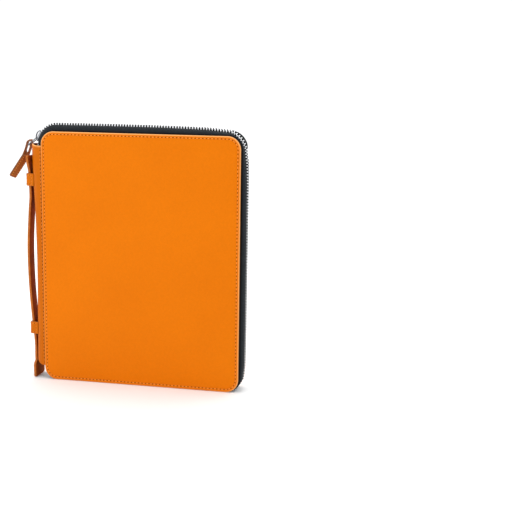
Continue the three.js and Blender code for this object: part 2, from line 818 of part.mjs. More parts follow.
function roundedPanel(left, right, low, high, corner) {
  const panel = new THREE.Shape();
  panel.moveTo(left + corner, low);
  panel.lineTo(right - corner, low);
  panel.absarc(right - corner, low + corner, corner, -Math.PI / 2, 0, false);
  panel.lineTo(right, high - corner);
  panel.absarc(right - corner, high - corner, corner, 0, Math.PI / 2, false);
  panel.lineTo(left + corner, high);
  panel.absarc(left + corner, high - corner, corner, Math.PI / 2, Math.PI, false);
  panel.lineTo(left, low + corner);
  panel.absarc(left + corner, low + corner, corner, Math.PI, 1.5 * Math.PI, false);
  return panel;
}

const liningInset = TAPE_TUCK + GAP;
const liningFace = innerHalf - GAP - LINING_THICK;
const pocketEdge = coverHalf - liningInset - POCKET_MARGIN;
const pocketLow = liningInset + POCKET_MARGIN;
const pocketHigh = COVER_HEIGHT - pocketLow;
const slotsRight = -pocketEdge + CARD_SLOT_WIDTH;

function lining(name, side) {
  const outline = new THREE.Shape(coverOutline(liningInset));
  const near = side < 0 ? -innerHalf + GAP : liningFace;
  return piece(name, sheet(outline, near, near + LINING_THICK), fabric(LINING_GREY));
}

// Front edge of the nth sheet laid on the front lining
function layerY(layer) {
  return -liningFace + GAP + layer * (POCKET_SHEET + GAP);
}

function documentPocket() {
  const left = pocketEdge - 2 * pocketEdge * DOCUMENT_POCKET_SHARE;
  const outline = roundedPanel(
    Math.max(left, slotsRight + POCKET_MARGIN),
    pocketEdge,
    pocketLow,
    pocketHigh,
    POCKET_CORNER,
  );
  return piece("document_pocket", sheet(outline, layerY(0), layerY(0) + POCKET_SHEET), fabric(LINING_GREY));
}

function cardSlot(number) {
  const low = pocketLow + PASSPORT_POCKET_HEIGHT + POCKET_MARGIN;
  const high = low + CARD_SLOT_DEPTH + (CARD_SLOTS - number) * CARD_SLOT_STEP;
  const outline = roundedPanel(-pocketEdge, slotsRight, low, high, POCKET_CORNER / 2);
  const near = layerY(number - 1);
  return piece(`card_slot_${number}`, sheet(outline, near, near + POCKET_SHEET), fabric(LINING_GREY));
}

function passportPocket() {
  const high = pocketLow + PASSPORT_POCKET_HEIGHT;
  const middle = (slotsRight - pocketEdge) / 2;
  const mouth = CARD_SLOT_WIDTH / 4;
  const outline = new THREE.Shape();
  outline.moveTo(-pocketEdge, pocketLow);
  outline.lineTo(slotsRight, pocketLow);
  outline.lineTo(slotsRight, high);
  outline.lineTo(middle + mouth, high);
  outline.lineTo(middle + mouth - PASSPORT_NOTCH, high - PASSPORT_NOTCH);
  outline.lineTo(middle - mouth + PASSPORT_NOTCH, high - PASSPORT_NOTCH);
  outline.lineTo(middle - mouth, high);
  outline.lineTo(-pocketEdge, high);
  outline.closePath();
  return piece("passport_pocket", sheet(outline, layerY(0), layerY(0) + POCKET_SHEET), fabric(LINING_GREY));
}

// Loop of lining cloth on the back lining, next to the spine
function penLoop() {
  const outerRadius = PEN_LOOP_BORE / 2 + PEN_LOOP_WALL;
  const ring = new THREE.Shape();
  ring.absarc(0, 0, outerRadius, 0, 2 * Math.PI, false);
  const hole = new THREE.Path();
  hole.absarc(0, 0, PEN_LOOP_BORE / 2, 0, 2 * Math.PI, true);
  ring.holes.push(hole);
  const loop = new THREE.ExtrudeGeometry(ring, {
    depth: PEN_LOOP_HEIGHT,
    bevelEnabled: false,
    curveSegments: 10,
  });
  loop.translate(
    -coverHalf + liningInset + outerRadius,
    liningFace - GAP - outerRadius,
    COVER_HEIGHT - PEN_LOOP_DROP - PEN_LOOP_HEIGHT,
  );
  return piece("pen_loop", loop, fabric(LINING_GREY));
}

const folder = new THREE.Group();
folder.add(cover("front_cover", -1), cover("back_cover", 1), spine());
folder.add(zipTape("zip_tape_front", -1), zipTape("zip_tape_back", 1), zipChain());
folder.add(zipSlider(), pullRing(), pullTab());
folder.add(handle(), keeper("keeper_upper", upperKeeperLow), keeper("keeper_lower", LOWER_KEEPER_RISE));
folder.add(lining("lining_front", -1), lining("lining_back", 1), documentPocket(), passportPocket());
for (let number = 1; number <= CARD_SLOTS; number += 1) {
  folder.add(cardSlot(number));
}
folder.add(penLoop());

// The origin is under the middle of the whole folder, on the surface that it stands on
const box = new THREE.Box3().setFromObject(folder, true);
const centre = box.getCenter(new THREE.Vector3());
folder.position.set(-centre.x, -centre.y, -box.min.z);

export default folder;
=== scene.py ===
import math

import bmesh
import bpy
from mathutils import Matrix, Vector, noise


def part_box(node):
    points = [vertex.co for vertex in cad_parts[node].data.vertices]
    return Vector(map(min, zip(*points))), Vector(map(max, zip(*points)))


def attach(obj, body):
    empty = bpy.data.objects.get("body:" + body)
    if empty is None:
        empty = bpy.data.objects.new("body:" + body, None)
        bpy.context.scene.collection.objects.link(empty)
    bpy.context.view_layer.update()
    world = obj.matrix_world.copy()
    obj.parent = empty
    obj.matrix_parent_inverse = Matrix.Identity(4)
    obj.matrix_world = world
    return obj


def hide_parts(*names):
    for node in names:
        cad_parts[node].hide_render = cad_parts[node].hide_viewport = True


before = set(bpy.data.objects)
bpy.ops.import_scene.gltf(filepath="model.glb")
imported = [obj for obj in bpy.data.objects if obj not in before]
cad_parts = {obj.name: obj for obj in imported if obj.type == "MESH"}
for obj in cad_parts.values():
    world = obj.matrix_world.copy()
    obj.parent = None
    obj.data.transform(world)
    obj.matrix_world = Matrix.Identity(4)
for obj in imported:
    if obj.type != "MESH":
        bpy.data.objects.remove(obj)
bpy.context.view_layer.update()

# A zipped travel document folder in leather. Shapes are worked out in millimetres in the
# part's own frame (X right, Y back, Z up, covers centred on X) and moved by SHIFT to the row frame.
MM = 0.001
COVER_WIDTH = 217
COVER_HEIGHT = 270
COVER_CORNER = 14
COVER_THICK = 4
FOLDER_THICK = 28
COVER_HALF = COVER_WIDTH / 2
INNER_HALF = FOLDER_THICK / 2 - COVER_THICK
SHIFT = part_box("front_cover")[0][0] / MM + COVER_HALF
GAP = 0.3
ACROSS = Vector((0, 1, 0))

# ---- helpers ----


def from_table(rows, place):
    """Value at a place, smooth between rows of (place, value)."""
    last = len(rows) - 1
    i = 0
    while i < last - 1 and rows[i + 1][0] < place:
        i += 1

    def slope(k):
        if k in (0, last):
            return 0.0
        return (rows[k + 1][1] - rows[k - 1][1]) / (rows[k + 1][0] - rows[k - 1][0])

    span = rows[i + 1][0] - rows[i][0]
    t = clamp((place - rows[i][0]) / span)
    hold = 2 * t**3 - 3 * t**2 + 1
    bend = (t**3 - 2 * t**2 + t) * slope(i) + (t**3 - t**2) * slope(i + 1)
    return hold * rows[i][1] + (1 - hold) * rows[i + 1][1] + span * bend


def clamp(value, low=0.0, high=1.0):
    return max(low, min(high, value))


def ease(value, low, high):
    t = clamp((value - low) / (high - low))
    return t * t * (3 - 2 * t)


def mix(a, b, t):
    return a + (b - a) * t


def spread(low, high, steps):
    return [low + (high - low) * k / steps for k in range(steps + 1)]


class Shape:
    """Points, faces, a material number for each face and named values for each point."""

    def __init__(self):
        self.points, self.faces, self.numbers, self.marks = [], [], [], {}

    def add(self, points, faces, numbers=0, **marks):
        base = len(self.points)
        self.points += points
        self.faces += [tuple(base + k for k in face) for face in faces]
        self.numbers += [numbers] * len(faces) if isinstance(numbers, int) else numbers
        for name, values in marks.items():
            self.marks.setdefault(name, {}).update({base + k: v for k, v in enumerate(values)})
        return self


def loft(rings, endless=False):
    """Points and faces of a solid through rings of equally many points."""
    count = len(rings[0])
    faces = []
    for i in range(len(rings) if endless else len(rings) - 1):
        near, far = i * count, (i + 1) % len(rings) * count
        for j in range(count):
            k = (j + 1) % count
            faces.append((near + j, near + k, far + k, far + j))
    if not endless:
        faces.append(tuple(reversed(range(count))))
        faces.append(tuple(range((len(rings) - 1) * count, len(rings) * count)))
    return [p for ring in rings for p in ring], faces


def slab_ring(centre, wide, thick, half_wide, half_thick, edge, steps=3):
    """Rounded rectangle round a centre, in the plane of two directions."""
    ring = []
    for side, top, start in ((1, 1, 0), (-1, 1, 90), (-1, -1, 180), (1, -1, 270)):
        for k in range(steps + 1):
            angle = math.radians(start + 90 * k / steps)
            w = side * (half_wide - edge) + edge * math.cos(angle)
            t = top * (half_thick - edge) + edge * math.sin(angle)
            ring.append(centre + wide * w + thick * t)
    return ring


def piece(name, shape, materials, body="folder", replaces=(), smooth=40):
    """Object from a shape, riding on a body and standing for the CAD nodes named."""
    mesh = bpy.data.meshes.new(name)
    mesh.from_pydata([((p.x + SHIFT) * MM, p.y * MM, p.z * MM) for p in shape.points], [], shape.faces)
    for made in materials:
        mesh.materials.append(made)
    mesh.polygons.foreach_set("material_index", shape.numbers)
    for label, values in shape.marks.items():
        first = next(iter(values.values()))
        vector = isinstance(first, (tuple, Vector))
        marks = mesh.attributes.new(label, "FLOAT_VECTOR" if vector else "FLOAT", "POINT")
        for k, value in values.items():
            if vector:
                marks.data[k].vector = value
            else:
                marks.data[k].value = value
    work = bmesh.new()
    work.from_mesh(mesh)
    bmesh.ops.recalc_face_normals(work, faces=work.faces)
    work.to_mesh(mesh)
    work.free()
    mesh.shade_smooth()
    mesh.set_sharp_from_angle(angle=math.radians(smooth))
    made = bpy.data.objects.new(name, mesh)
    bpy.context.scene.collection.objects.link(made)
    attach(made, body)
    if replaces:
        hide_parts(*replaces)
    return made


# ---- materials ----


def linear(red, green, blue):
    """Linear colour from 0-255 display values."""
    return tuple((c / 255) ** 2.2 for c in (red, green, blue)) + (1.0,)


class Graph:
    """Small node graph around one shader; coordinates are object coordinates in millimetres."""

    def __init__(self, name, roughness, metallic=0.0, **constants):
        self.material = bpy.data.materials.new(name)
        self.material.use_nodes = True
        self.tree = self.material.node_tree
        self.shader = self.tree.nodes["Principled BSDF"]
        self.shader.inputs["Roughness"].default_value = roughness
        self.shader.inputs["Metallic"].default_value = metallic
        for label, value in constants.items():
            self.shader.inputs[label.replace("_", " ")].default_value = value
        where = self.tree.nodes.new("ShaderNodeTexCoord").outputs["Object"]
        self.where = self.scaled(where, (1 / MM,) * 3)

    def join(self, socket, value):
        if isinstance(value, bpy.types.NodeSocket):
            self.tree.links.new(value, socket)
        else:
            socket.default_value = value

    def scaled(self, vector, factors):
        node = self.tree.nodes.new("ShaderNodeVectorMath")
        node.operation = "MULTIPLY"
        self.join(node.inputs[0], vector)
        node.inputs[1].default_value = factors
        return node.outputs[0]

    def math(self, operation, a, b=0.0, c=0.0):
        node = self.tree.nodes.new("ShaderNodeMath")
        node.operation = operation
        for socket, value in zip(node.inputs, (a, b, c)):
            self.join(socket, value)
        return node.outputs[0]

    def noise(self, size, detail=2.0, vector=None):
        """Noise whose blotches are about that many millimetres across."""
        node = self.tree.nodes.new("ShaderNodeTexNoise")
        self.join(node.inputs["Vector"], vector or self.where)
        node.inputs["Scale"].default_value = 1 / size
        node.inputs["Detail"].default_value = detail
        return node.outputs["Fac"]

    def cells(self, size, feature="DISTANCE_TO_EDGE", vector=None):
        node = self.tree.nodes.new("ShaderNodeTexVoronoi")
        node.feature = feature
        self.join(node.inputs["Vector"], vector or self.where)
        node.inputs["Scale"].default_value = 1 / size
        return node.outputs["Distance"]

    def mark(self, name, output="Fac"):
        node = self.tree.nodes.new("ShaderNodeAttribute")
        node.attribute_name = name
        return node.outputs[output]

    def split(self, vector):
        node = self.tree.nodes.new("ShaderNodeSeparateXYZ")
        self.join(node.inputs[0], vector)
        return node.outputs

    def span(self, value, low, high, to_low=0.0, to_high=1.0):
        node = self.tree.nodes.new("ShaderNodeMapRange")
        for socket, given in zip(node.inputs, (value, low, high, to_low, to_high)):
            self.join(socket, given)
        return node.outputs[0]

    def blend(self, factor, a, b, how="MIX"):
        node = self.tree.nodes.new("ShaderNodeMix")
        node.data_type = "RGBA"
        node.blend_type = how
        self.join(node.inputs["Factor"], factor)
        self.join(node.inputs[6], a)
        self.join(node.inputs[7], b)
        return node.outputs[2]

    def bump(self, height, depth, strength=1.0):
        """Relief of that depth in millimetres."""
        node = self.tree.nodes.new("ShaderNodeBump")
        node.inputs["Distance"].default_value = depth * MM
        node.inputs["Strength"].default_value = strength
        self.join(node.inputs["Height"], height)
        self.tree.links.new(node.outputs[0], self.shader.inputs["Normal"])

    def finish(self, colour, roughness=None):
        self.join(self.shader.inputs["Base Color"], colour)
        if roughness is not None:
            self.join(self.shader.inputs["Roughness"], roughness)
        return self.material


LEATHER_GLOSS = (1.0, 0.7, 0.42, 1.0)
# Peach colour of the painted highlight on rolled edges and rims.
RIM_HIGHLIGHT = (255, 190, 118)


def leather(name, dark, light, grain=0.9, depth=0.05, gloss=(0.36, 0.5)):
    """Fine grained leather, darker in the grain, with painted shade where the mesh is marked for it and a painted
    highlight on marked rims.
    """
    g = Graph(name, 0.45, Specular_IOR_Level=0.14, Specular_Tint=LEATHER_GLOSS)
    grain_lines = g.cells(grain)
    pores = g.noise(grain * 0.35, 3)
    height = g.math("ADD", g.span(grain_lines, 0.0, 0.22), g.math("MULTIPLY", pores, 0.6))
    g.bump(height, depth, 0.55)
    patches = g.span(g.noise(70, 3), 0.35, 0.65)
    colour = g.blend(patches, linear(*dark), linear(*light))
    fine = g.span(g.noise(2.2, 4), 0.3, 0.7, 0.97, 1.02)
    colour = g.blend(1.0, colour, fine, "MULTIPLY")
    in_grain = g.span(grain_lines, 0.0, 0.12, 0.08, 0.0)
    deep = tuple(c * 0.45 for c in linear(*dark)[:3]) + (1.0,)
    shadow = tuple(c * 0.06 for c in linear(*dark)[:3]) + (1.0,)
    colour = g.blend(in_grain, colour, deep)
    # Painted shade: darker, down to near black, where the mesh's shade mark is set, on the covers' side faces and in
    # the groove along the stitch line.
    colour = g.blend(g.mark("crease"), colour, g.blend(g.mark("crease"), deep, shadow))
    # Painted highlight: peach where the rim mark is set, on the covers' rolled edges and the spine's rims.
    colour = g.blend(g.math("MULTIPLY", g.mark("rim"), 0.85), colour, linear(*RIM_HIGHLIGHT))
    rough = g.span(g.math("ADD", g.noise(9, 3), g.noise(40, 2)), 0.7, 1.3, *gloss)
    return g.finish(colour, rough)


def suede(name, dark, light):
    """Flesh side of the leather: matt, with short fibres."""
    g = Graph(name, 0.85, Specular_IOR_Level=0.12)
    fibres = g.noise(0.5, 5, g.scaled(g.where, (1, 1, 0.35)))
    g.bump(fibres, 0.12, 0.6)
    colour = g.blend(g.span(g.noise(14, 4), 0.35, 0.65), linear(*dark), linear(*light))
    colour = g.blend(1.0, colour, g.span(fibres, 0.3, 0.7, 0.82, 1.1), "MULTIPLY")
    return g.finish(colour, g.span(fibres, 0.3, 0.7, 0.78, 0.92))


def edge_paint(name, dark, light):
    """Cut edge of leather layers, painted and rubbed: faint lines along it."""
    g = Graph(name, 0.4, Specular_IOR_Level=0.35, Specular_Tint=LEATHER_GLOSS)
    layers = g.noise(0.5, 3, g.scaled(g.where, (1, 1, 0.08)))
    rubbed = g.noise(5, 4)
    g.bump(g.math("ADD", layers, g.math("MULTIPLY", rubbed, 0.5)), 0.1, 0.5)
    colour = g.blend(g.span(rubbed, 0.35, 0.65), linear(*dark), linear(*light))
    colour = g.blend(1.0, colour, g.span(layers, 0.35, 0.65, 0.85, 1.08), "MULTIPLY")
    return g.finish(colour, g.span(rubbed, 0.3, 0.7, 0.32, 0.5))


def thread(name, dark, light):
    """Waxed sewing thread: twisted strands."""
    g = Graph(name, 0.55, Specular_IOR_Level=0.25, Sheen_Weight=0.05, Sheen_Roughness=0.4)
    along, around, _ = g.split(g.mark("strand", "Vector"))
    twist = g.math("SINE", g.math("ADD", g.math("MULTIPLY", along, 9.0), g.math("MULTIPLY", around, 2.0)))
    g.bump(twist, 0.05, 0.7)
    colour = g.blend(g.span(twist, -1.0, 1.0), linear(*dark), linear(*light))
    return g.finish(colour, g.span(g.noise(0.8, 3), 0.3, 0.7, 0.42, 0.6))


def woven_tape(name, dark, light):
    """Herringbone tape; the mesh's weave mark has the distances along and across it."""
    g = Graph(name, 0.85, Specular_IOR_Level=0.2, Sheen_Weight=0.06, Sheen_Roughness=0.45)
    along, across, _ = g.split(g.mark("weave", "Vector"))
    zigzag = g.math("PINGPONG", across, 1.1)
    phase = g.math("MULTIPLY", g.math("ADD", along, zigzag), 2 * math.pi / 0.85)
    ribs = g.math("SINE", phase)
    strands = g.math("SINE", g.math("MULTIPLY", across, 2 * math.pi / 0.42))
    height = g.math("ADD", ribs, g.math("MULTIPLY", strands, 0.35))
    g.bump(height, 0.12, 0.8)
    colour = g.blend(g.span(height, -1.2, 1.2), linear(*dark), linear(*light))
    colour = g.blend(1.0, colour, g.span(g.noise(3, 4), 0.3, 0.7, 0.85, 1.12), "MULTIPLY")
    # Painted shade: near black where the mesh is marked, at the tape's edges by the cover and by the teeth.
    colour = g.blend(g.mark("crease"), colour, linear(6, 7, 8))
    return g.finish(colour, g.span(g.noise(1.2, 3), 0.3, 0.7, 0.76, 0.92))


def lining_cloth(name, dark, light):
    """Plain weave lining cloth."""
    g = Graph(name, 0.8, Specular_IOR_Level=0.3, Sheen_Weight=0.2, Sheen_Roughness=0.5)
    x, _, z = g.split(g.where)
    warp = g.math("SINE", g.math("MULTIPLY", x, 2 * math.pi / 0.6))
    weft = g.math("SINE", g.math("MULTIPLY", z, 2 * math.pi / 0.6))
    height = g.math("MULTIPLY", warp, weft)
    g.bump(height, 0.08, 0.7)
    colour = g.blend(g.span(height, -1.0, 1.0), linear(*dark), linear(*light))
    colour = g.blend(1.0, colour, g.span(g.noise(25, 4), 0.3, 0.7, 0.88, 1.1), "MULTIPLY")
    return g.finish(colour, g.span(g.noise(2, 3), 0.3, 0.7, 0.72, 0.9))


def metal(name, dark, light, gloss=(0.16, 0.3)):
    """Polished plated metal with faint scratches and duller patches."""
    g = Graph(name, 0.2, 1.0)
    scratches = g.noise(0.35, 3, g.scaled(g.where, (0.25, 1, 1)))
    g.bump(scratches, 0.02, 0.35)
    dull = g.noise(1.6, 3)
    colour = g.blend(g.span(dull, 0.35, 0.65), linear(*dark), linear(*light))
    return g.finish(colour, g.span(g.math("ADD", dull, scratches), 0.7, 1.3, *gloss))


def floor_paint(name):
    g = Graph(name, 0.9, Specular_IOR_Level=0.1)
    g.bump(g.noise(2.5, 3), 0.02, 0.1)
    return g.finish(g.blend(g.noise(300, 2), linear(246, 246, 246), linear(250, 250, 250)))


COVER = leather("cover_leather", (224, 115, 3), (228, 118, 5))
# The spine is the cover's leather made darker: painted shade on the spine.
SHADE = leather("spine_leather", (194, 97, 2), (202, 103, 4), grain=0.8)
STRAP = leather("strap_leather", (196, 100, 14), (206, 108, 18), grain=0.8)
TAB = leather("tab_leather", (142, 80, 36), (156, 90, 44), grain=0.7)
# Flesh side of the leather, dark: on the spine's inside, and on the strap's back as painted shade between the strap and
# the spine.
BACKING_AND_SHADE = suede("leather_backing_and_shade", (126, 56, 2), (150, 70, 4))
EDGE = edge_paint("painted_edge", (166, 90, 32), (190, 108, 46))
TAB_EDGE = edge_paint("tab_painted_edge", (100, 54, 22), (132, 74, 32))
THREAD = thread("orange_thread", (240, 138, 42), (255, 170, 80))
# Dark brown of the needle holes: painted shade in the holes.
NEEDLE_HOLE_SHADE = leather("needle_hole", (84, 24, 0), (98, 30, 0), gloss=(0.85, 0.95))
TAPE = woven_tape("zip_tape_weave", (24, 27, 30), (46, 51, 56))
# The cord under the teeth is made far darker than the tape it belongs to: painted shade in the gaps between the teeth.
CORD = woven_tape("zip_cord_weave", (5, 6, 7), (14, 15, 17))
CLOTH = lining_cloth("lining_weave", (34, 42, 44), (52, 61, 63))
CLOTH_THREAD = thread("grey_thread", (40, 48, 50), (66, 76, 78))
STEEL = metal("zip_metal", (226, 228, 231), (244, 245, 247), (0.3, 0.45))
# The slider's and ring's metal is made much darker than the teeth's: painted shade and painted dark reflection, so they
# show grey on the white.
SHADED_SLIDER_STEEL = metal("slider_metal", (104, 106, 110), (134, 136, 140), (0.12, 0.24))

# ---- stitches ----


def run_of(points, pitch, closed=False):
    """Places at an even pitch on a polyline of (point, normal), as (place, way, normal)."""
    line = points + points[:1] if closed else points
    lengths = [(b[0] - a[0]).length for a, b in zip(line, line[1:])]
    total = sum(lengths)
    count = max(1, round(total / pitch))
    places = []
    i, done = 0, 0.0
    for k in range(count):
        goal = total * (k + 0.5) / count
        while i < len(lengths) - 1 and done + lengths[i] < goal:
            done += lengths[i]
            i += 1
        t = (goal - done) / lengths[i]
        a, b = line[i], line[i + 1]
        places.append((a[0].lerp(b[0], t), (b[0] - a[0]).normalized(), a[1].lerp(b[1], t).normalized()))
    return places


STITCH_STATIONS = [(-0.5, 0.35), (-0.42, 0.85), (-0.18, 1.0), (0.18, 1.0), (0.42, 0.85), (0.5, 0.35)]
STITCH_SIDES = 6


def stitch(shape, place, way, normal, length, radius, slant=5.0):
    """Short arched piece of thread that dives into the leather at both ends."""
    way = Matrix.Rotation(math.radians(slant), 3, normal) @ way
    side = normal.cross(way)
    rings, strand = [], []
    for along, thick in STITCH_STATIONS:
        lift = radius * (0.5 - 5.2 * along**2)
        centre = place + way * (along * length) + normal * lift
        ring = []
        for j in range(STITCH_SIDES):
            angle = 2 * math.pi * j / STITCH_SIDES
            ring.append(centre + (side * math.cos(angle) + normal * math.sin(angle)) * (radius * thick))
            strand.append((along * length, angle, 0.0))
        rings.append(ring)
    points, faces = loft(rings)
    shape.add(points, faces, 0, strand=strand)


def needle_hole(shape, place, way, normal, length, width):
    """Small dimple between two stitches, coloured dark: painted shade in the needle hole."""
    side = normal.cross(way)
    low, high = [], []
    for j in range(8):
        angle = 2 * math.pi * j / 8
        rim = place + way * (length / 2 * math.cos(angle)) + side * (width / 2 * math.sin(angle))
        low.append(rim - normal * 0.12)
        high.append(rim + normal * 0.03)
    shape.add(*loft([low, high]))


def stitching(name, runs, pitch=3.95, length=2.6, radius=0.38, body="folder", made=None, holes=True):
    """Rows of stitches and the needle holes between them; runs are (points, closed)."""
    threads, dimples = Shape(), Shape()
    for points, closed in runs:
        places = run_of(points, pitch, closed)
        for place, way, normal in places:
            stitch(threads, place, way, normal, length, radius)
            if holes:
                needle_hole(dimples, place + way * (pitch / 2), way, normal, pitch - length + 0.2, radius * 3.2)
    piece(name + "_stitches", threads, [made or THREAD], body)
    if holes:
        piece(name + "_needle_holes", dimples, [NEEDLE_HOLE_SHADE], body)


# ---- covers ----

STITCH_INSET = 3.0
COVER_CORNER_STEPS = 12
COVER_SIDE_POINTS = {"flat": 24, "tall": 30}

# Edge of a cover from its inner face to the crown: (inset, height above the inner face, painted shade, painted
# highlight)
COVER_EDGE = [
    (0.7, 0.0, 1, 0), (0.22, 0.12, 1, 0), (0.0, 0.5, 1, 0), (0.0, 2.2, 1, 0), (0.06, 2.7, 0.6, 0.2),
    (0.22, 3.04, 0, 0.8), (0.5, 3.32, 0, 1), (0.85, 3.5, 0, 0.5), (1.3, 3.6, 0, 0.15), (1.8, 3.61, 0.02, 0),
    (2.3, 3.5, 0.04, 0), (2.7, 3.26, 0.12, 0), (3.0, 3.15, 0.18, 0), (3.3, 3.26, 0.12, 0), (3.75, 3.48, 0.04, 0),
    (4.4, 3.6, 0.02, 0), (5.4, 3.68, 0, 0), (7.0, 3.75, 0, 0), (10.0, 3.81, 0, 0), (16.0, 3.87, 0, 0),
    (25.0, 3.92, 0, 0), (36.0, 3.96, 0, 0), (50.0, 3.98, 0, 0), (70.0, 4.0, 0, 0), (90.0, 4.0, 0, 0),
    (106.0, 4.0, 0, 0),
]


def cover_ring(inset, corner_steps=COVER_CORNER_STEPS):
    """Rounded rectangle in X and Z, inset from the covers' outline, counter-clockwise from the right."""
    radius = max(COVER_CORNER - inset, 1)
    right = COVER_HALF - inset - radius
    top, low = COVER_HEIGHT - inset - radius, inset + radius
    ring = []
    for x, z, start, side in (
        (right, top, 0, "flat"), (-right, top, 90, "tall"), (-right, low, 180, "flat"), (right, low, 270, "tall"),
    ):
        for k in range(corner_steps + 1):
            angle = math.radians(start + 90 * k / corner_steps)
            ring.append((x + radius * math.cos(angle), z + radius * math.sin(angle)))
        angle = math.radians(start + 90)
        last = (x + radius * math.cos(angle), z + radius * math.sin(angle))
        run = 2 * right if side == "flat" else top - low
        count = COVER_SIDE_POINTS[side]
        for k in range(1, count):
            step = run * k / count
            ring.append((last[0] - step * math.sin(angle), last[1] + step * math.cos(angle)))
    return ring


def cover_face(x, z, height, inset, side):
    """Y of the leather over the padding, which gives a little here and there."""
    soft = ease(inset, 3.2, 14)
    wave = 0.16 * noise.noise(Vector((x / 60, side * 7.3, z / 60)))
    wave += 0.05 * noise.noise(Vector((x / 22, side * 3.1, z / 22)))
    return side * (INNER_HALF + height + wave * soft)


def rim_highlight_share(x, z):
    """How strong the painted highlight on the rolled edge is: most along the top, where the light falls, then along the
    right.
    """
    top = mix(0.35, 1, ease(z, COVER_HEIGHT - 34, COVER_HEIGHT - 9))
    return max(top, 0.8 * ease(x, COVER_HALF - 50, COVER_HALF - 8))


def cover(name, side):
    shape = Shape()
    rings, creases, rims = [], [], []
    for inset, height, crease, rim in COVER_EDGE:
        flat = cover_ring(inset)
        rings.append([Vector((x, cover_face(x, z, height, inset, side), z)) for x, z in flat])
        creases += [crease] * len(flat)
        rims += [rim * rim_highlight_share(x, z) for x, z in flat]
    points, faces = loft(rings)
    # The cover's marks: painted shade on the side face and in the stitch groove, painted highlight on the rolled edge.
    shape.add(points, faces, 0, crease=creases, rim=rims)
    made = piece(name + "_leather", shape, [COVER], replaces=[name], smooth=50)
    normal = Vector((0, side, 0))
    height = side * (INNER_HALF + 3.24)
    line = [(Vector((x, height, z)), normal) for x, z in cover_ring(STITCH_INSET, 24)]
    stitching(name, [(line, True)])


# ---- spine ----

SPINE_WALL = 2.0
SPINE_SEAM_RISE = 2.6
SPINE_BULGE = 12.8
SPINE_SQUARENESS = 2.5
SPINE_LOW = 14.6
SPINE_HIGH = COVER_HEIGHT - 15.6
SPINE_CREST_TOP = 2
SPINE_CREST_BOTTOM = 6
SPINE_SEAM_X = -COVER_HALF - GAP
SPINE_HALF = INNER_HALF + SPINE_SEAM_RISE
SPINE_SWELL = [
    (0, 0.87), (0.1, 0.85), (0.2, 0.82), (0.4, 0.775), (0.52, 0.785),
    (0.64, 0.81), (0.74, 0.88), (0.8, 0.95), (0.89, 1), (1, 1.06),
]


def spine_bulge(z):
    up = clamp((z - SPINE_LOW) / (SPINE_HIGH - SPINE_LOW))
    return SPINE_BULGE * from_table(SPINE_SWELL, up)


def spine_point(turn, z, out):
    """Point of the spine's outer surface moved out; turn is -90 at the front seam."""
    power = 2 / SPINE_SQUARENESS
    sideways = math.sin(math.radians(turn))
    outward = max(math.cos(math.radians(turn)), 0)
    return Vector((
        SPINE_SEAM_X - (spine_bulge(z) + out) * outward**power,
        (SPINE_HALF + out) * math.copysign(abs(sideways) ** power, sideways),
        z,
    ))


def spine_row(turn, share):
    crest = math.cos(math.radians(turn)) ** 2
    return mix(SPINE_LOW + SPINE_CREST_BOTTOM * crest, SPINE_HIGH + SPINE_CREST_TOP * crest, share)


# Rows near an end of the spine: share of the height and how much thinner the wall's skins are there
SPINE_RIM = [(0, 0.85), (0.0008, 0.5), (0.002, 0.22), (0.0045, 0.04), (0.01, 0), (0.02, 0)]
SPINE_ROWS = 56
SPINE_STITCH_TURN = 88.4
SPINE_STEPS = 56


def spine():
    rims = SPINE_RIM + [(k / SPINE_ROWS, 0) for k in range(2, SPINE_ROWS - 1)]
    rims += [(1 - share, thin) for share, thin in reversed(SPINE_RIM)]
    rings, light = [], []
    for share, thin in rims:
        outer, inner = [], []
        for turn in spread(-90, 90, SPINE_STEPS):
            z = spine_row(turn, share)
            soft = ease(90 - abs(turn), 4, 30)
            wave = 0.22 * soft * noise.noise(Vector((turn / 40, 2.5, z / 26)))
            outer.append(spine_point(turn, z, wave - thin))
            inner.append(spine_point(turn, z, wave - SPINE_WALL + thin))
        rings.append(outer + inner[::-1])
        # Rim mark: painted highlight along the spine's top and bottom rims.
        light += [0.9 * (1 - ease(1 - share, 0.001, 0.006))] * len(rings[-1])
    points, faces = loft(rings)
    count = len(rings[0])
    numbers = [1 if count / 2 <= k % count < count - 1 else 0 for k in range(len(faces) - 2)] + [0, 0]
    shape = Shape().add(points, faces[:-2], numbers[:-2], rim=light)
    half = count // 2
    for base, flip in ((0, False), ((len(rings) - 1) * count, True)):
        for j in range(half - 1):
            a, b = base + j, base + j + 1
            c, d = base + count - 2 - j, base + count - 1 - j
            shape.faces.append((a, b, c, d) if flip else (d, c, b, a))
            shape.numbers.append(0)
    piece("spine_leather_wall", shape, [SHADE, BACKING_AND_SHADE], replaces=["spine"])
    runs = []
    for turn in (-SPINE_STITCH_TURN, SPINE_STITCH_TURN):
        line = []
        for share in spread(0.02, 0.98, 60):
            z = spine_row(turn, share)
            here = spine_point(turn, z, 0)
            flat = spine_point(turn + 1, z, 0) - spine_point(turn - 1, z, 0)
            line.append((here, Vector((0, 0, 1)).cross(flat).normalized()))
        runs.append((line, False))
    stitching("spine_seam", runs, length=2.6, radius=0.24)


# ---- zip ----

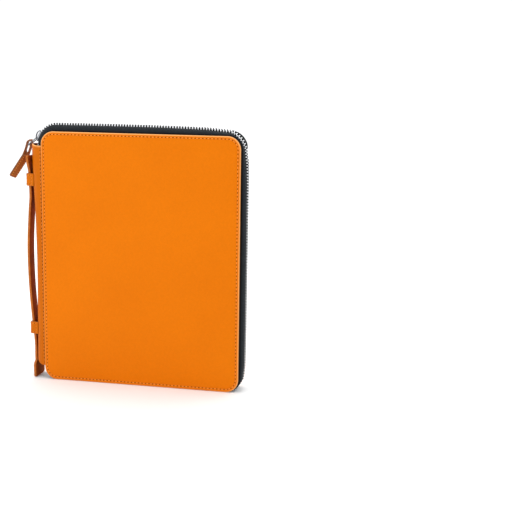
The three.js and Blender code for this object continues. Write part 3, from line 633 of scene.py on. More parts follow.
ZIP_PROUD = 8.3
ZIP_TAIL = 22
ZIP_FLOOR_CLEARANCE = 0.5
TAPE_THICK = 1.1
TAPE_TUCK = 4
TAPE_ROLL = 1.5
TAPE_BULGE = 3
TAPE_SUNK = 0.7
BEAD_OUT = 1.6
BEAD_HALF = 0.95
BEAD_CENTRE = 1.85
TAPE_STEPS = 12
TAPE_PITCH = 2.0
CHAIN_WIDTH = 6
CHAIN_THICK = 2.6
CORE = CHAIN_THICK / 2
TOOTH_PITCH = 3.0
CORNER_RUN = math.pi / 2 * COVER_CORNER
FLAT_RUN = COVER_WIDTH - 2 * COVER_CORNER
TALL_RUN = COVER_HEIGHT - 2 * COVER_CORNER
ZIP_ROUTE = [
    (ZIP_TAIL, False), (CORNER_RUN, True), (FLAT_RUN, False), (CORNER_RUN, True), (TALL_RUN, False),
    (CORNER_RUN, True), (FLAT_RUN, False), (CORNER_RUN, True), (ZIP_TAIL, False),
]
ZIP_LENGTH = sum(run for run, _ in ZIP_ROUTE)
ZIP_RISE = [
    (0, 0.84), (1, 0.86), (1.5, 0.96), (2, 1), (2.5, 1), (2.85, 0.88), (3, 0.62), (3.3, 0.3), (3.7, 0.22),
    (4, 0.36), (4.06, 0.6), (4.14, 0.66), (4.6, 0.64), (4.94, 0.57), (5, 0.4), (5.25, 0.18), (6, 0.12),
    (7, 0.12), (8, 0.3), (9, 0.7),
]


# How far the band of teeth leans to the front, in degrees, by the place on the route
ZIP_LEAN = [
    (0, 0), (1.6, 0), (2.0, -5), (2.6, -5), (2.85, 5), (3.1, 14), (3.7, 14), (4.0, 5), (4.2, -9), (5, -9), (5.4, 0),
    (9, 0),
]
# How far the tape's edge stays below the middle of the teeth
TAPE_LOW = [
    (0, 0.1), (1, 0.1), (1.4, 0.3), (1.9, 1.0), (2.05, 1.2), (2.7, 1.2), (3.0, 0.9), (3.5, 0.6), (4.1, 0.6),
    (5, 0.4), (5.3, 0), (9, 0),
]
# How much fuller the back tape is
TAPE_FULL = [(0, 0), (2.7, 0), (2.93, 3.5), (3.25, 4.5), (3.55, 3.8), (3.8, 3), (3.97, 1.5), (4.1, 0), (9, 0)]


class Station:
    """Place on the covers' outline at a distance along the zip, with its outward direction."""

    def __init__(self, distance):
        x, z = -COVER_HALF, COVER_HEIGHT - COVER_CORNER - ZIP_TAIL
        heading, left, place = math.pi / 2, distance, 0.0
        for run, turns in ZIP_ROUTE:
            step = min(left, run)
            place += step / run
            if turns:
                cx = x + COVER_CORNER * math.sin(heading)
                cz = z - COVER_CORNER * math.cos(heading)
                heading -= step / COVER_CORNER
                x = cx - COVER_CORNER * math.sin(heading)
                z = cz + COVER_CORNER * math.cos(heading)
            else:
                x += step * math.cos(heading)
                z += step * math.sin(heading)
            left -= step
            if left <= 0:
                break
        self.x, self.z, self.place = x, z, place
        self.out = Vector((-math.sin(heading), 0, math.cos(heading)))
        self.way = Vector((math.cos(heading), 0, math.sin(heading)))
        self.room = (z - ZIP_FLOOR_CLEARANCE) / -self.out.z if self.out.z < -1e-6 else math.inf
        self.proud = min(ZIP_PROUD * from_table(ZIP_RISE, place), self.room)
        self.lean = math.radians(from_table(ZIP_LEAN, place))
        self.normal = self.out * math.cos(self.lean) - ACROSS * math.sin(self.lean)

    def at(self, out, y):
        return Vector((self.x, y, self.z)) + self.out * out

    def band(self, up, y):
        """Point in the band of teeth, up from its middle layer and y from its middle line."""
        across = ACROSS * math.cos(self.lean) + self.out * math.sin(self.lean)
        return self.at(self.proud - CORE, 0) + self.normal * up + across * y


def bezier(a, b, c, t):
    return a * (1 - t) ** 2 + b * (2 * t * (1 - t)) + c * t**2


def tape_section(station, side):
    """Outer and inner line of a tape as (out, distance from the middle), the distance and the shade across."""
    low = from_table(TAPE_LOW, station.place) * ease(station.proud, 2, 5)
    end = station.proud - CORE + TAPE_THICK / 2 + side * CHAIN_WIDTH / 2 * math.sin(station.lean) - low
    full = from_table(TAPE_FULL, station.place) if side > 0 else 0
    bulge = min(max(end, TAPE_BULGE) + full, station.room)
    edge = INNER_HALF - GAP - TAPE_SUNK
    brink = CHAIN_WIDTH / 2 * math.cos(station.lean)
    a, b, c = Vector((-TAPE_ROLL, edge)), Vector((bulge, edge)), Vector((end, brink))
    line = [Vector((-TAPE_TUCK, edge))] + [bezier(a, b, c, t) for t in spread(0, 1, TAPE_STEPS)]
    line += [Vector((end, brink - 0.8)), Vector((end - 0.1, brink - 1.6))]
    outer, inner, across, shade = [], [], [0.0], []
    for i, p in enumerate(line):
        way = (line[min(i + 1, len(line) - 1)] - line[max(i - 1, 0)]).normalized()
        thin = 0.18 if i in (0, len(line) - 1) else 0.0
        normal = Vector((way.y, -way.x)) * -1
        outer.append(p - normal * thin)
        inner.append(p - normal * (TAPE_THICK - thin))
        # Painted shade across the tape: dark where it comes out from under the cover's edge and next to the teeth.
        shade.append(max(1 - ease(p.x, 0.4, 1.7), ease(i, TAPE_STEPS - 2, TAPE_STEPS + 1)))
        if i:
            across.append(across[-1] + (p - line[i - 1]).length)
    return outer, inner, across, shade


def zip_tape(name, side):
    rings, weave, dark = [], [], []
    count = round(ZIP_LENGTH / TAPE_PITCH)
    along = 0.0
    before = None
    for distance in spread(0, ZIP_LENGTH, count):
        station = Station(distance)
        outer, inner, across, shade = tape_section(station, side)
        rings.append([station.at(p.x, side * p.y) for p in outer + inner[::-1]])
        here = station.at(station.proud, 0)
        along += (here - before).length if before else 0.0
        before = here
        weave += [(along, v, 0.0) for v in across + across[::-1]]
        # Painted shade values for the tape, carried by its shade mark.
        dark += shade + shade[::-1]
    shape = Shape().add(*loft(rings), 0, weave=weave, crease=dark)
    rings, weave = [], []
    for distance in spread(0, ZIP_LENGTH, count):
        station = Station(distance)
        ring = []
        for k in range(10):
            angle = 2 * math.pi * k / 10
            y = side * (BEAD_CENTRE + BEAD_HALF * math.cos(angle))
            ring.append(station.band(BEAD_OUT * math.sin(angle), y))
            weave.append((distance, BEAD_OUT * angle, 0.0))
        rings.append(ring)
    shape.add(*loft(rings), 1, weave=weave)
    piece(name + "_weave", shape, [TAPE, CORD], replaces=[name], smooth=60)


SLIDER_ANGLE = 23.5
SLIDER_LENGTH = 12
SLIDER_WIDTH = 9.6
SLIDER_NOSE = 6.6
SLIDER_PLATE = 1.5
SLIDER_SLOT = 2.9
SLIDER_DISTANCE = ZIP_TAIL + math.radians(SLIDER_ANGLE) * COVER_CORNER
SLIDER_STATION = Station(SLIDER_DISTANCE)
SLIDER_CORE = SLIDER_STATION.proud - CORE
SLIDER_HALF_RUN = (SLIDER_LENGTH / 2 + GAP) / (COVER_CORNER + SLIDER_CORE) * COVER_CORNER

# A tooth from its foot to its head: (distance from the foot, half length along the zip, half thickness)
TOOTH = [
    (0.0, 0.5, 1.3), (0.1, 0.62, 1.46), (0.4, 0.68, 1.56), (1.7, 0.66, 1.56), (2.1, 0.6, 1.2),
    (2.6, 0.52, 1.0), (3.0, 0.62, 1.0), (3.6, 0.6, 0.95), (3.95, 0.4, 0.7),
]


def tooth(shape, station, foot, side):
    """One metal tooth clamped on the tape's edge; foot is its outer end's distance from the middle."""
    rings = []
    for reach, half_along, half_thick in TOOTH:
        centre = station.band(0, side * (foot - reach))
        rings.append(slab_ring(centre, station.way, station.normal, half_along, half_thick, 0.24, 2))
    shape.add(*loft(rings))


def zip_teeth():
    """Two rows of teeth: meshed past the slider, apart before it."""
    shape = Shape()
    step = 0.25
    distance, run = 0.0, 0.0
    before = Station(0.0).at(Station(0.0).proud - CORE, 0)
    number = 0
    while distance < ZIP_LENGTH - 1:
        distance += step
        station = Station(distance)
        here = station.at(station.proud - CORE, 0)
        run += (here - before).length
        before = here
        if run < number * TOOTH_PITCH / 2 + 1:
            continue
        number += 1
        side = 1 if number % 2 else -1
        if distance > SLIDER_DISTANCE + SLIDER_HALF_RUN - 0.6:
            tooth(shape, station, CHAIN_WIDTH / 2 + 0.1, side)
        elif distance < SLIDER_DISTANCE - SLIDER_HALF_RUN + 0.8:
            apart = 1.6 * ease(SLIDER_DISTANCE - SLIDER_HALF_RUN - distance, 0, 12)
            tooth(shape, station, CHAIN_WIDTH / 2 + 1.4 + apart, side)
    piece("zip_teeth", shape, [STEEL], replaces=["zip_chain"])


SLIDER_FRAME = Matrix((
    (SLIDER_STATION.way.x, 0, SLIDER_STATION.out.x),
    (0, 1, 0),
    (SLIDER_STATION.way.z, 0, SLIDER_STATION.out.z),
))
SLIDER_ORIGIN = SLIDER_STATION.at(SLIDER_CORE, 0)
SLOT_TOP = TAPE_THICK / 2 + GAP
SLOT_LOW = SLOT_TOP - SLIDER_SLOT
PLATE_TOP = SLOT_TOP + SLIDER_PLATE
BRIDGE_LENGTH = 11
BRIDGE_HEIGHT = 3.8
BRIDGE_STRIP = 1.1
BRIDGE_WIDTH = 2.2


def on_slider(x, y, z):
    return SLIDER_FRAME @ Vector((x, y, z)) + SLIDER_ORIGIN


def slider_half_width(x):
    """Half the slider's width: rounded at the open end, narrowing to the nose."""
    share = (x + SLIDER_LENGTH / 2) / SLIDER_LENGTH
    body = mix(SLIDER_WIDTH, SLIDER_NOSE, ease(share, 0.3, 0.95)) / 2
    return body * (0.72 + 0.28 * ease(share, -0.06, 0.2)) * (1 - 0.16 * ease(share, 0.92, 1.0))


def slider_plate(shape, near, far):
    """Plate with rounded sides and lips towards the slot; near faces the slot."""
    rings = []
    up = 1 if far > near else -1
    for share in (0, 0.012, 0.04, 0.1, 0.2, 0.3, 0.42, 0.55, 0.68, 0.8, 0.9, 0.96, 0.988, 1):
        x = mix(-SLIDER_LENGTH / 2, SLIDER_LENGTH / 2, share)
        end = min(share, 1 - share)
        trim = 0.35 * (1 - ease(end, 0, 0.035))
        w = slider_half_width(x) - trim
        crown = 0.25
        low, high = near + up * trim * 0.4, far - up * trim
        lip = near - up * 0.55
        section = [
            (-w, lip), (-w, mix(low, high, 0.5)), (-w + 0.18, high - up * 0.42), (-w + 0.6, high - up * 0.12),
            (-w * 0.5, high + up * crown * 0.2), (0, high + up * crown * 0.3), (w * 0.5, high + up * crown * 0.2),
            (w - 0.6, high - up * 0.12), (w - 0.18, high - up * 0.42), (w, mix(low, high, 0.5)), (w, lip),
            (w - 0.75, lip), (w - 0.95, low), (0, low), (-w + 0.95, low), (-w + 0.75, lip),
        ]
        rings.append([on_slider(x, y, z) for y, z in section])
    shape.add(*loft(rings))


def slider_bridge(shape):
    """Arched strip over the top plate, with feet that flare into it."""
    rings = []
    across = ACROSS
    for k in range(25):
        angle = math.pi * (k / 24)
        radius_x = BRIDGE_LENGTH / 2 - BRIDGE_STRIP / 2
        radius_z = BRIDGE_HEIGHT - BRIDGE_STRIP / 2
        x, z = radius_x * math.cos(angle), radius_z * math.sin(angle)
        normal = Vector((math.cos(angle) / radius_x, 0, math.sin(angle) / radius_z)).normalized()
        foot = 1 + 0.25 * (1 - math.sin(angle)) ** 4
        centre = on_slider(x, 0, PLATE_TOP - GAP / 2 + z)
        rings.append(slab_ring(
            centre, across, SLIDER_FRAME @ normal, BRIDGE_WIDTH / 2 * foot, BRIDGE_STRIP / 2, 0.32, 3,
        ))
    shape.add(*loft(rings))


def zip_slider():
    shape = Shape()
    slider_plate(shape, SLOT_TOP, PLATE_TOP)
    slider_plate(shape, SLOT_LOW, SLOT_LOW - SLIDER_PLATE)
    rings = []
    for z in (SLOT_LOW - 0.3, SLOT_TOP + 0.3):
        centre = on_slider(-SLIDER_LENGTH / 4, 0, z)
        rings.append(slab_ring(centre, SLIDER_FRAME.col[0], ACROSS, 2.0, 1.2, 0.6, 4))
    shape.add(*loft(rings))
    slider_bridge(shape)
    piece("zip_slider_body", shape, [SHADED_SLIDER_STEEL], replaces=["zip_slider"], smooth=35)


# ---- pull ----

RING_WIRE = 1.2
RING_LENGTH = 13
RING_WIDTH = 6.6
RING_ANGLE = 41
TAB_LEATHER = 1.4
TAB_WIDTH = 8
TAB_DROP = 6.3
TAB_NECK = 6
TAB_TAIL = 22
TAB_FLARE = 1.6
TAB_FLARED_SHARE = 0.3
TAB_HEAD_ANGLE = 70
TAB_TAIL_ANGLE = 55.1
TAB_TWIST_ANGLE = 34
TAB_TWISTED_SHARE = 0.6
TAB_STEPS = 36
TAB_LOOP_STEPS = 44
TAB_EYE_WIDTH = RING_WIDTH - RING_WIRE - 2 * GAP

# Middle of the leather where it loops round the ring's far bar, as (x, z) from the bar's centre,
# from the tab's outer layer over the top to its inner layer
TAB_LOOP = [
    (-4.45, -5.51), (-3.6, -3.1), (-2.75, -0.4), (-1.95, 2.2), (-1.2, 3.75), (0.1, 4.75), (1.5, 5.45),
    (2.6, 5.45), (3, 4.4), (2.7, 2.6), (2.25, 0.4), (1.65, -2.2), (0.85, -4.7), (-0.13, -7.09),
]


def hanging(angle):
    return Vector((-math.cos(math.radians(angle)), 0, -math.sin(math.radians(angle))))


PIVOT = on_slider(
    -BRIDGE_LENGTH / 2 + BRIDGE_STRIP + RING_WIRE / 2 + 3 * GAP, 0, PLATE_TOP + RING_WIRE / 2 + GAP,
)
RING_WAY = hanging(RING_ANGLE)
BAR_CENTRE = PIVOT + RING_WAY * RING_LENGTH


def pull_ring():
    """Bent wire ring, round in section."""
    half, bend = RING_WIDTH / 2, RING_WIRE
    up = RING_WAY.cross(ACROSS)
    rings = []
    for along, side, start in (
        (bend, half, 180), (RING_LENGTH - bend, half, 90), (RING_LENGTH - bend, -half, 0), (bend, -half, -90),
    ):
        for k in range(9):
            angle = math.radians(start - 90 * k / 8)
            outward = RING_WAY * math.cos(angle) + ACROSS * math.sin(angle)
            centre = PIVOT + RING_WAY * along + ACROSS * (side - math.copysign(bend, side)) + outward * bend
            rings.append([
                centre + (outward * math.cos(roll) + up * math.sin(roll)) * (RING_WIRE / 2)
                for roll in [2 * math.pi * j / 14 for j in range(14)]
            ])
    shape = Shape().add(*loft(rings, True))
    piece("pull_ring_wire", shape, [SHADED_SLIDER_STEEL], "zip_pull", ["pull_ring"], 60)


def tab_frames():
    """Centre, way, width direction, thickness direction and half width along the tab."""
    head, tail = hanging(TAB_HEAD_ANGLE), hanging(TAB_TAIL_ANGLE)
    start = BAR_CENTRE + head * TAB_DROP
    bend_point = start + head * TAB_NECK
    neck_end = bend_point + tail * TAB_NECK
    frames = []
    for k in range(TAB_STEPS + 1):
        share = k / TAB_STEPS
        bent = min(share * 2, 1)
        beyond = max(share * 2 - 1, 0)
        centre = bezier(start, bend_point, neck_end, bent) + tail * (TAB_TAIL * beyond)
        way = ((bend_point - start) * (1 - bent) + (neck_end - bend_point) * bent).normalized()
        twist = math.radians(TAB_TWIST_ANGLE) * math.sin(math.pi / 2 * min(share / TAB_TWISTED_SHARE, 1))
        wide = Matrix.Rotation(twist, 3, way) @ ACROSS
        width = mix(TAB_EYE_WIDTH, TAB_WIDTH, ease(share, 0, 0.25))
        frames.append((centre, way, wide, way.cross(wide), width / 2))
    return frames


def loop_point(share):
    """Place on the smooth line through the loop's points."""
    place = share * (len(TAB_LOOP) - 1)
    i = min(int(place), len(TAB_LOOP) - 2)
    t = place - i
    before, a, b, after = (Vector(TAB_LOOP[clamp(k, 0, len(TAB_LOOP) - 1)]) for k in range(i - 1, i + 3))
    leave, arrive = (b - before) / 2, (after - a) / 2
    return a + leave * t + ((b - a) * 3 - leave * 2 - arrive) * t**2 + (leave + arrive - (b - a) * 2) * t**3


def pull_tab():
    """Strip of leather looped round the ring's bar; its two layers are sewn together."""
    frames = tab_frames()
    half = TAB_LEATHER / 2 - 0.02
    layers = {}
    for side in (-1, 1):
        rings = []
        for k, (centre, _, wide, thick, half_width) in enumerate(frames):
            outward = thick * side
            apart = TAB_FLARE * (1 - ease(k / TAB_STEPS, 0, TAB_FLARED_SHARE))
            middle = centre + outward * (TAB_LEATHER / 2 + 0.03 + apart)
            last = ease(k, TAB_STEPS - 1.2, TAB_STEPS)
            rings.append(slab_ring(middle, wide, outward, half_width - 0.5 * last, half, 0.35))
        layers[side] = rings[1:]
    loop = []
    for share in spread(0, 1, TAB_LOOP_STEPS):
        here = loop_point(share)
        way = (loop_point(min(share + 0.004, 1)) - loop_point(max(share - 0.004, 0))).normalized()
        centre = BAR_CENTRE + Vector((here.x, 0, here.y))
        loop.append(slab_ring(centre, ACROSS, Vector((-way.y, 0, way.x)), TAB_EYE_WIDTH / 2, half, 0.35))
    rings = layers[-1][::-1] + loop + layers[1]
    points, faces = loft(rings)
    numbers = [1 if k % len(rings[0]) in EDGE_BANDS else 0 for k in range(len(faces) - 2)]
    shape = Shape().add(points, faces, numbers + [1, 1])
    piece("pull_tab_leather", shape, [TAB, TAB_EDGE], "zip_pull", ["pull_tab"], 60)
    runs = []
    for side in (1, -1):
        for across in (1, -1):
            line = []
            for k, (centre, _, wide, thick, half_width) in enumerate(frames):
                if 10 <= k <= TAB_STEPS - 1:
                    place = centre + thick * (side * (TAB_LEATHER + 0.02)) + wide * (across * (half_width - 1.3))
                    line.append((place, thick * side))
            runs.append((line, False))
    stitching("pull_tab", runs, 3.0, 2.1, 0.2, "zip_pull", made=THREAD)


# Bands of a slab ring that lie on its narrow sides
EDGE_BANDS = (0, 7, 8, 15)

# ---- handle ----

STRAP_THICK = 2.6
STRAP_WIDTH = 13
STRAP_END_WIDTH = 24
STRAP_BOW = 7.4
STRAP_BOTTOM = 0.8
STRAP_TOP = COVER_HEIGHT - 26.5
STRAP_FOOT = 14
STRAP_SHOULDER = 3.5
STRAP_HEAD = 3
STRAP_TAPER = 16
STRAP_STITCH_INSET = 1.9
STRAP_RISE = [
    (0, -0.1), (0.045, -0.08), (0.09, 0.01), (0.13, 0.01), (0.165, 0.07), (0.215, 0.25), (0.28, 0.49),
    (0.37, 0.77), (0.46, 0.95), (0.55, 1), (0.645, 0.91), (0.735, 0.65), (0.78, 0.47), (0.825, 0.27),
    (0.87, 0.24), (0.935, 0.25), (1, 0.18),
]


def strap_inner_x(z):
    up = clamp((z - STRAP_BOTTOM) / (STRAP_TOP - STRAP_BOTTOM))
    return SPINE_SEAM_X - spine_bulge(z) - GAP - STRAP_BOW * from_table(STRAP_RISE, up)


def strap_half_width(z):
    foot = 1 - (z - STRAP_BOTTOM - STRAP_FOOT) / STRAP_SHOULDER
    head = 1 - (STRAP_TOP - STRAP_HEAD - z) / STRAP_TAPER
    flare = ease(max(foot, head), 0, 1)
    corner = 0.9 * (1 - ease(min(z - STRAP_BOTTOM, STRAP_TOP - z), 0, 1.6))
    return mix(STRAP_WIDTH, STRAP_END_WIDTH, flare) / 2 - corner


def handle():
    levels = [STRAP_BOTTOM, STRAP_BOTTOM + 0.25, STRAP_BOTTOM + 0.8, STRAP_BOTTOM + 1.6]
    levels += spread(STRAP_BOTTOM + 3, STRAP_TOP - 3, 96)
    levels += [STRAP_TOP - 1.6, STRAP_TOP - 0.8, STRAP_TOP - 0.25, STRAP_TOP]
    rings = []
    for z in levels:
        centre = Vector((strap_inner_x(z) - STRAP_THICK / 2, 0, z))
        rings.append(slab_ring(centre, ACROSS, Vector((1, 0, 0)), strap_half_width(z), STRAP_THICK / 2, 0.55))
    points, faces = loft(rings)
    count = len(rings[0])
    numbers = []
    for k in range(len(faces) - 2):
        band = k % count
        if band in EDGE_BANDS or band in (1, 2, 4, 5, 6, 9, 10, 12, 13, 14):
            numbers.append(2)
        else:
            # Band 3 is the strap's back, facing the spine: the dark backing there is painted shade.
            numbers.append(1 if band == 3 else 0)
    shape = Shape().add(points, faces, numbers + [2, 2])
    piece("handle_strap", shape, [STRAP, BACKING_AND_SHADE, EDGE], replaces=["handle"], smooth=50)
    runs = []
    for side in (-1, 1):
        line = []
        for z in spread(STRAP_BOTTOM + 2, STRAP_TOP - 2, 90):
            x = strap_inner_x(z) - STRAP_THICK
            y = side * (strap_half_width(z) - STRAP_STITCH_INSET)
            line.append((Vector((x, y, z)), Vector((-1, 0, 0))))
        runs.append((line, False))
    stitching("handle", runs, 3.6, 2.6, 0.24)


# ---- keepers ----

KEEPER_HEIGHT = 13.5
KEEPER_WALL = 1.5
KEEPER_PLAY = 0.4
KEEPER_FOOT = 1.2
KEEPER_LEVELS = (0, 0.25, 0.5, 0.75, 1)
KEEPERS = {"keeper_upper": COVER_HEIGHT - 45.5 - KEEPER_HEIGHT, "keeper_lower": 48.5}


def keeper_section(bottom, thin):
    """Outline in X and Y of a band over the strap with feet on the spine, its walls thinned."""
    levels = [bottom + share * KEEPER_HEIGHT for share in KEEPER_LEVELS]
    widest = max(levels, key=spine_bulge)
    inner_x = min(strap_inner_x(z) for z in levels) - STRAP_THICK - KEEPER_PLAY - thin
    outer_x = inner_x - KEEPER_WALL + 2 * thin
    inner_y = STRAP_WIDTH / 2 + KEEPER_PLAY + thin
    outer_y = inner_y + KEEPER_WALL - 2 * thin
    foot_y = outer_y + KEEPER_FOOT

    def on_spine(y, out):
        share = min(y / (SPINE_HALF + out), 1)
        outward = (1 - share**SPINE_SQUARENESS) ** (1 / SPINE_SQUARENESS)
        return (SPINE_SEAM_X - (spine_bulge(widest) + out) * outward, y)

    under = [on_spine(mix(foot_y, inner_y, t), GAP + thin) for t in spread(0, 1, 6)]
    rounding = 0.7
    for t in spread(0, 1, 4):
        angle = math.pi / 2 * t
        under.append((inner_x + rounding * (1 - math.sin(angle)), inner_y - rounding * (1 - math.cos(angle))))
    over = []
    big = KEEPER_WALL + rounding
    for t in spread(0, 1, 6):
        angle = math.pi / 2 * (1 - t)
        over.append((outer_x + big * (1 - math.sin(angle)), outer_y - big * (1 - math.cos(angle))))
    over += [on_spine(mix(outer_y, foot_y, t), GAP + KEEPER_WALL - thin) for t in spread(0, 1, 6)]
    flipped = [(x, -y) for x, y in reversed(under)], [(x, -y) for x, y in reversed(over)]
    return under + flipped[0] + flipped[1] + over, over


def keeper(name):
    bottom = KEEPERS[name]
    rings = []
    for up, thin in ((0, 0.42), (0.12, 0.2), (0.4, 0.05), (0.8, 0), (3, 0), (6.75, 0)):
        for z, t in ((up, thin),):
            rings.append((z, t))
    rings += [(KEEPER_HEIGHT - z, t) for z, t in reversed(rings[:-1])]
    loops = [
        [Vector((x, y, bottom + z)) for x, y in keeper_section(bottom, thin)[0]] for z, thin in rings
    ]
    points, faces = loft(loops)
    count = len(loops[0])
    numbers = []
    for k in range(len(faces) - 2):
        row = k // count
        numbers.append(1 if row in (0, 1, len(loops) - 2, len(loops) - 3) else 0)
    shape = Shape().add(points, faces[:-2], numbers)
    for base in (0, (len(loops) - 1) * count):
        quarter = count // 4
        over_count = quarter
    section = keeper_section(bottom, 0.42)[0]
    cap(shape, loops[0], section)
    cap(shape, loops[-1], section)
    piece(name + "_band", shape, [STRAP, EDGE], replaces=[name], smooth=40)
    keeper_stitches(name, bottom)


def cap(shape, ring, section):
    """Flat end of an outline whose halves run side by side, as a strip of faces between them."""
    work = bmesh.new()
    made = [work.verts.new((x, y, 0)) for x, y in section]
    face = work.faces.new(made)
    work.verts.index_update()
    result = bmesh.ops.triangulate(work, faces=[face])
    work.verts.index_update()
    faces = [tuple(v.index for v in f.verts) for f in result["faces"]]
    work.free()
    shape.add(list(ring), faces, 1)


def keeper_stitches(name, bottom):
    """Rows near both edges of the band and one down each foot."""
    over = keeper_section(bottom, 0)[1]
    whole = [(x, -y) for x, y in reversed(over)] + over
    runs = []
    for level in (1.9, KEEPER_HEIGHT - 1.9):
        line = []
        for i, (x, y) in enumerate(whole):
            a, b = whole[max(i - 1, 0)], whole[min(i + 1, len(whole) - 1)]
            normal = Vector((-(b[1] - a[1]), b[0] - a[0], 0)).normalized()
            line.append((Vector((x, y, bottom + level)), normal))
        runs.append((line[1:-1], False))
    for side in (-1, 1):
        x, y = over[-3]
        a, b = over[-4], over[-2]
        normal = Vector((-(b[1] - a[1]), side * (b[0] - a[0]), 0)).normalized()
        line = [(Vector((x, side * y, bottom + z)), normal) for z in (3.4, KEEPER_HEIGHT - 3.4)]
        runs.append((line, False))
    stitching(name, runs, 3.2, 2.3, 0.22)


# ---- lining and pockets ----

LINING_THICK = 1.0
POCKET_SHEET = 0.9
POCKET_MARGIN = 8
POCKET_CORNER = 6
LINING_INSET = TAPE_TUCK + GAP
LINING_FACE = INNER_HALF - GAP - LINING_THICK
POCKET_EDGE = COVER_HALF - LINING_INSET - POCKET_MARGIN
POCKET_LOW = LINING_INSET + POCKET_MARGIN
POCKET_HIGH = COVER_HEIGHT - POCKET_LOW
CARD_SLOT_WIDTH = 84
CARD_SLOT_DEPTH = 62
CARD_SLOT_STEP = 14
CARD_SLOTS = 3
SLOTS_RIGHT = -POCKET_EDGE + CARD_SLOT_WIDTH
PASSPORT_HEIGHT = 100
PASSPORT_NOTCH = 12
PEN_LOOP_BORE = 11
PEN_LOOP_WALL = 1.2
PEN_LOOP_HEIGHT = 18
PEN_LOOP_DROP = 42


def rounded_panel(left, right, low, high, corner):
    outline = []
    for x, z, start in (
        (right - corner, low + corner, -90), (right - corner, high - corner, 0),
        (left + corner, high - corner, 90), (left + corner, low + corner, 180),
    ):
        for k in range(7):
            angle = math.radians(start + 15 * k)
            outline.append((x + corner * math.cos(angle), z + corner * math.sin(angle)))
    return outline


def inset_line(outline, inset):
    """Outline moved inward; it runs counter-clockwise."""
    moved = []
    for i, (x, z) in enumerate(outline):
        before, after = outline[i - 1], outline[(i + 1) % len(outline)]
        a = Vector((x - before[0], z - before[1])).normalized()
        b = Vector((after[0] - x, after[1] - z)).normalized()
        inward = Vector((-a.y - b.y, a.x + b.x)).normalized()
        reach = inset / max(inward.dot(Vector((-a.y, a.x))), 0.4)
        moved.append((x + inward.x * reach, z + inward.y * reach))
    return moved


def cloth_panel(name, outline, near, far, sewn=0):
    """Sheet of cloth with a soft edge, sewn round if sewn says which way its face looks."""
    rings = []
    for inset, y in ((0.3, near), (0.08, near + 0.12), (0, near + 0.3), (0, far - 0.3), (0.08, far - 0.12), (0.3, far)):
        rings.append([Vector((x, y, z)) for x, z in (inset_line(outline, inset) if inset else outline)])
    shape = Shape().add(*loft(rings))
    made = piece(name + "_cloth", shape, [CLOTH], replaces=[name], smooth=50)
    if sewn:
        y = far if sewn > 0 else near
        line = [(Vector((x, y, z)), Vector((0, sewn, 0))) for x, z in inset_line(outline, 2.2)]
        stitching(name, [(line, True)], 3.4, 2.4, 0.12, made=CLOTH_THREAD, holes=False)


def layer_y(layer):
    return -LINING_FACE + GAP + layer * (POCKET_SHEET + GAP)


def lining_and_pockets():
    outline = cover_ring(LINING_INSET)
    cloth_panel("lining_front", outline, -INNER_HALF + GAP, -LINING_FACE)
    cloth_panel("lining_back", outline, LINING_FACE, INNER_HALF - GAP)
    left = max(POCKET_EDGE - 2 * POCKET_EDGE * 0.56, SLOTS_RIGHT + POCKET_MARGIN)
    document = rounded_panel(left, POCKET_EDGE, POCKET_LOW, POCKET_HIGH, POCKET_CORNER)
    cloth_panel("document_pocket", document, layer_y(0), layer_y(0) + POCKET_SHEET, 1)
    high = POCKET_LOW + PASSPORT_HEIGHT
    middle, mouth = (SLOTS_RIGHT - POCKET_EDGE) / 2, CARD_SLOT_WIDTH / 4
    passport = [
        (-POCKET_EDGE, POCKET_LOW), (SLOTS_RIGHT, POCKET_LOW), (SLOTS_RIGHT, high), (middle + mouth, high),
        (middle + mouth - PASSPORT_NOTCH, high - PASSPORT_NOTCH),
        (middle - mouth + PASSPORT_NOTCH, high - PASSPORT_NOTCH), (middle - mouth, high), (-POCKET_EDGE, high),
    ]
    cloth_panel("passport_pocket", passport, layer_y(0), layer_y(0) + POCKET_SHEET, 1)
    low = high + POCKET_MARGIN
    for number in range(1, CARD_SLOTS + 1):
        top = low + CARD_SLOT_DEPTH + (CARD_SLOTS - number) * CARD_SLOT_STEP
        card = rounded_panel(-POCKET_EDGE, SLOTS_RIGHT, low, top, POCKET_CORNER / 2)
        near = layer_y(number - 1)
        cloth_panel(f"card_slot_{number}", card, near, near + POCKET_SHEET, 1)


def pen_loop():
    """Band of cloth bent into a loop on the back lining; its seam is not drawn."""
    radius = PEN_LOOP_BORE / 2 + PEN_LOOP_WALL / 2
    x0 = -COVER_HALF + LINING_INSET + PEN_LOOP_BORE / 2 + PEN_LOOP_WALL
    y0 = LINING_FACE - GAP - PEN_LOOP_BORE / 2 - PEN_LOOP_WALL
    z0 = COVER_HEIGHT - PEN_LOOP_DROP - PEN_LOOP_HEIGHT / 2
    rings = []
    for k in range(48):
        angle = 2 * math.pi * k / 48
        outward = Vector((math.cos(angle), math.sin(angle), 0))
        centre = Vector((x0, y0, z0)) + outward * radius
        rings.append(slab_ring(centre, Vector((0, 0, 1)), outward, PEN_LOOP_HEIGHT / 2, PEN_LOOP_WALL / 2, 0.35))
    shape = Shape().add(*loft(rings, True))
    made = piece("pen_loop_cloth", shape, [CLOTH], replaces=["pen_loop"], smooth=50)


# ---- studio ----

CAMERA_PLACE = (340.0, -1050.1, 331.35)
CAMERA_YAW = 11.674
CAMERA_PITCH = 9.818
CAMERA_ROLL = 0.876
FOCAL_PIXELS = 1044
FRAME_PIXELS = 512
SENSOR = 36
SKY_FRONT = 0.44
SKY_BACK = 1.03
SKY_OVERHEAD = 0.7


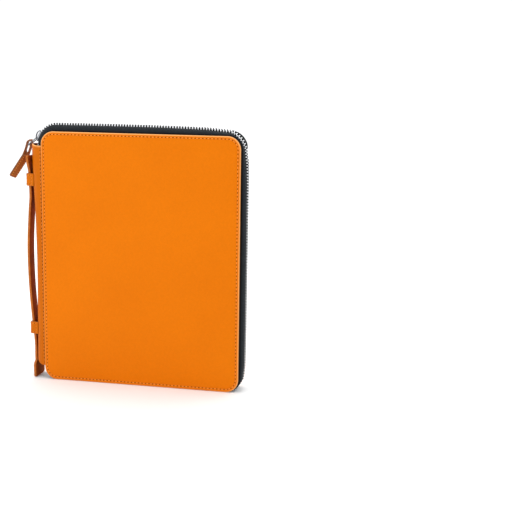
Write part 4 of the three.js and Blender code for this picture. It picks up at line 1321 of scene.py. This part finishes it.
def camera():
    yaw, pitch, roll = (math.radians(a) for a in (CAMERA_YAW, CAMERA_PITCH, CAMERA_ROLL))
    ahead = Vector((-math.sin(yaw) * math.cos(pitch), math.cos(yaw) * math.cos(pitch), -math.sin(pitch)))
    right = Vector((math.cos(yaw), math.sin(yaw), 0))
    up = right.cross(ahead)
    turned_right = right * math.cos(roll) + up * math.sin(roll)
    turned_up = up * math.cos(roll) - right * math.sin(roll)
    data = bpy.data.cameras.new("camera")
    data.lens = FOCAL_PIXELS / FRAME_PIXELS * SENSOR
    data.sensor_width = SENSOR
    made = bpy.data.objects.new("camera", data)
    x, y, z = CAMERA_PLACE
    axes = Matrix((turned_right, turned_up, -ahead)).transposed().to_4x4()
    made.matrix_world = Matrix.Translation(Vector((x + SHIFT, y, z)) * MM) @ axes
    bpy.context.scene.collection.objects.link(made)
    bpy.context.scene.camera = made


def area_light(name, place, size, power, target=(0, 0, 0.13)):
    data = bpy.data.lights.new(name, "AREA")
    data.shape = "RECTANGLE"
    data.size, data.size_y = size
    data.energy = power
    made = bpy.data.objects.new(name, data)
    made.location = place
    made.rotation_euler = (Vector(target) - Vector(place)).to_track_quat("-Z", "Y").to_euler()
    bpy.context.scene.collection.objects.link(made)


def studio():
    mesh = bpy.data.meshes.new("studio_floor")
    reach = 6.0
    mesh.from_pydata([(-reach, -reach, 0), (reach, -reach, 0), (reach, reach, 0), (-reach, reach, 0)], [], [(0, 1, 2, 3)])
    mesh.materials.append(floor_paint("studio_floor_paint"))
    floor = bpy.data.objects.new("studio_floor", mesh)
    bpy.context.scene.collection.objects.link(floor)
    world = bpy.data.worlds.new("studio_world")
    world.use_nodes = True
    tree = world.node_tree
    direction = tree.nodes.new("ShaderNodeTexCoord").outputs["Generated"]
    axes = tree.nodes.new("ShaderNodeSeparateXYZ")
    rise = tree.nodes.new("ShaderNodeMapRange")
    tree.links.new(direction, axes.inputs[0])
    back = tree.nodes.new("ShaderNodeMapRange")
    total = tree.nodes.new("ShaderNodeMath")
    tree.links.new(axes.outputs["Z"], rise.inputs["Value"])
    tree.links.new(axes.outputs["Y"], back.inputs["Value"])
    rise.inputs["To Min"].default_value = 0.0
    rise.inputs["To Max"].default_value = SKY_OVERHEAD
    back.inputs["From Min"].default_value = -0.7
    back.inputs["From Max"].default_value = 0.5
    back.inputs["To Min"].default_value = SKY_FRONT
    back.inputs["To Max"].default_value = SKY_BACK
    tree.links.new(rise.outputs[0], total.inputs[0])
    tree.links.new(back.outputs[0], total.inputs[1])
    tree.links.new(total.outputs[0], tree.nodes["Background"].inputs["Strength"])
    tree.nodes["Background"].inputs["Color"].default_value = (1, 1, 1, 1)
    bpy.context.scene.world = world
    area_light("key_light", (-0.8, -0.95, 0.6), (0.7, 0.6), 3.0, (-0.06, 0, 0.2))
    area_light("top_light", (0.1, -0.1, 1.3), (1.0, 1.0), 3.0)
    area_light("back_light", (-0.4, 1.3, 0.8), (0.9, 0.7), 2.2)
    bpy.context.scene.view_settings.view_transform = "Standard"


camera()
studio()
cover("front_cover", -1)
cover("back_cover", 1)
spine()
zip_tape("zip_tape_front", -1)
zip_tape("zip_tape_back", 1)
zip_teeth()
zip_slider()
pull_ring()
pull_tab()
handle()
for keeper_name in KEEPERS:
    keeper(keeper_name)
lining_and_pockets()
pen_loop()
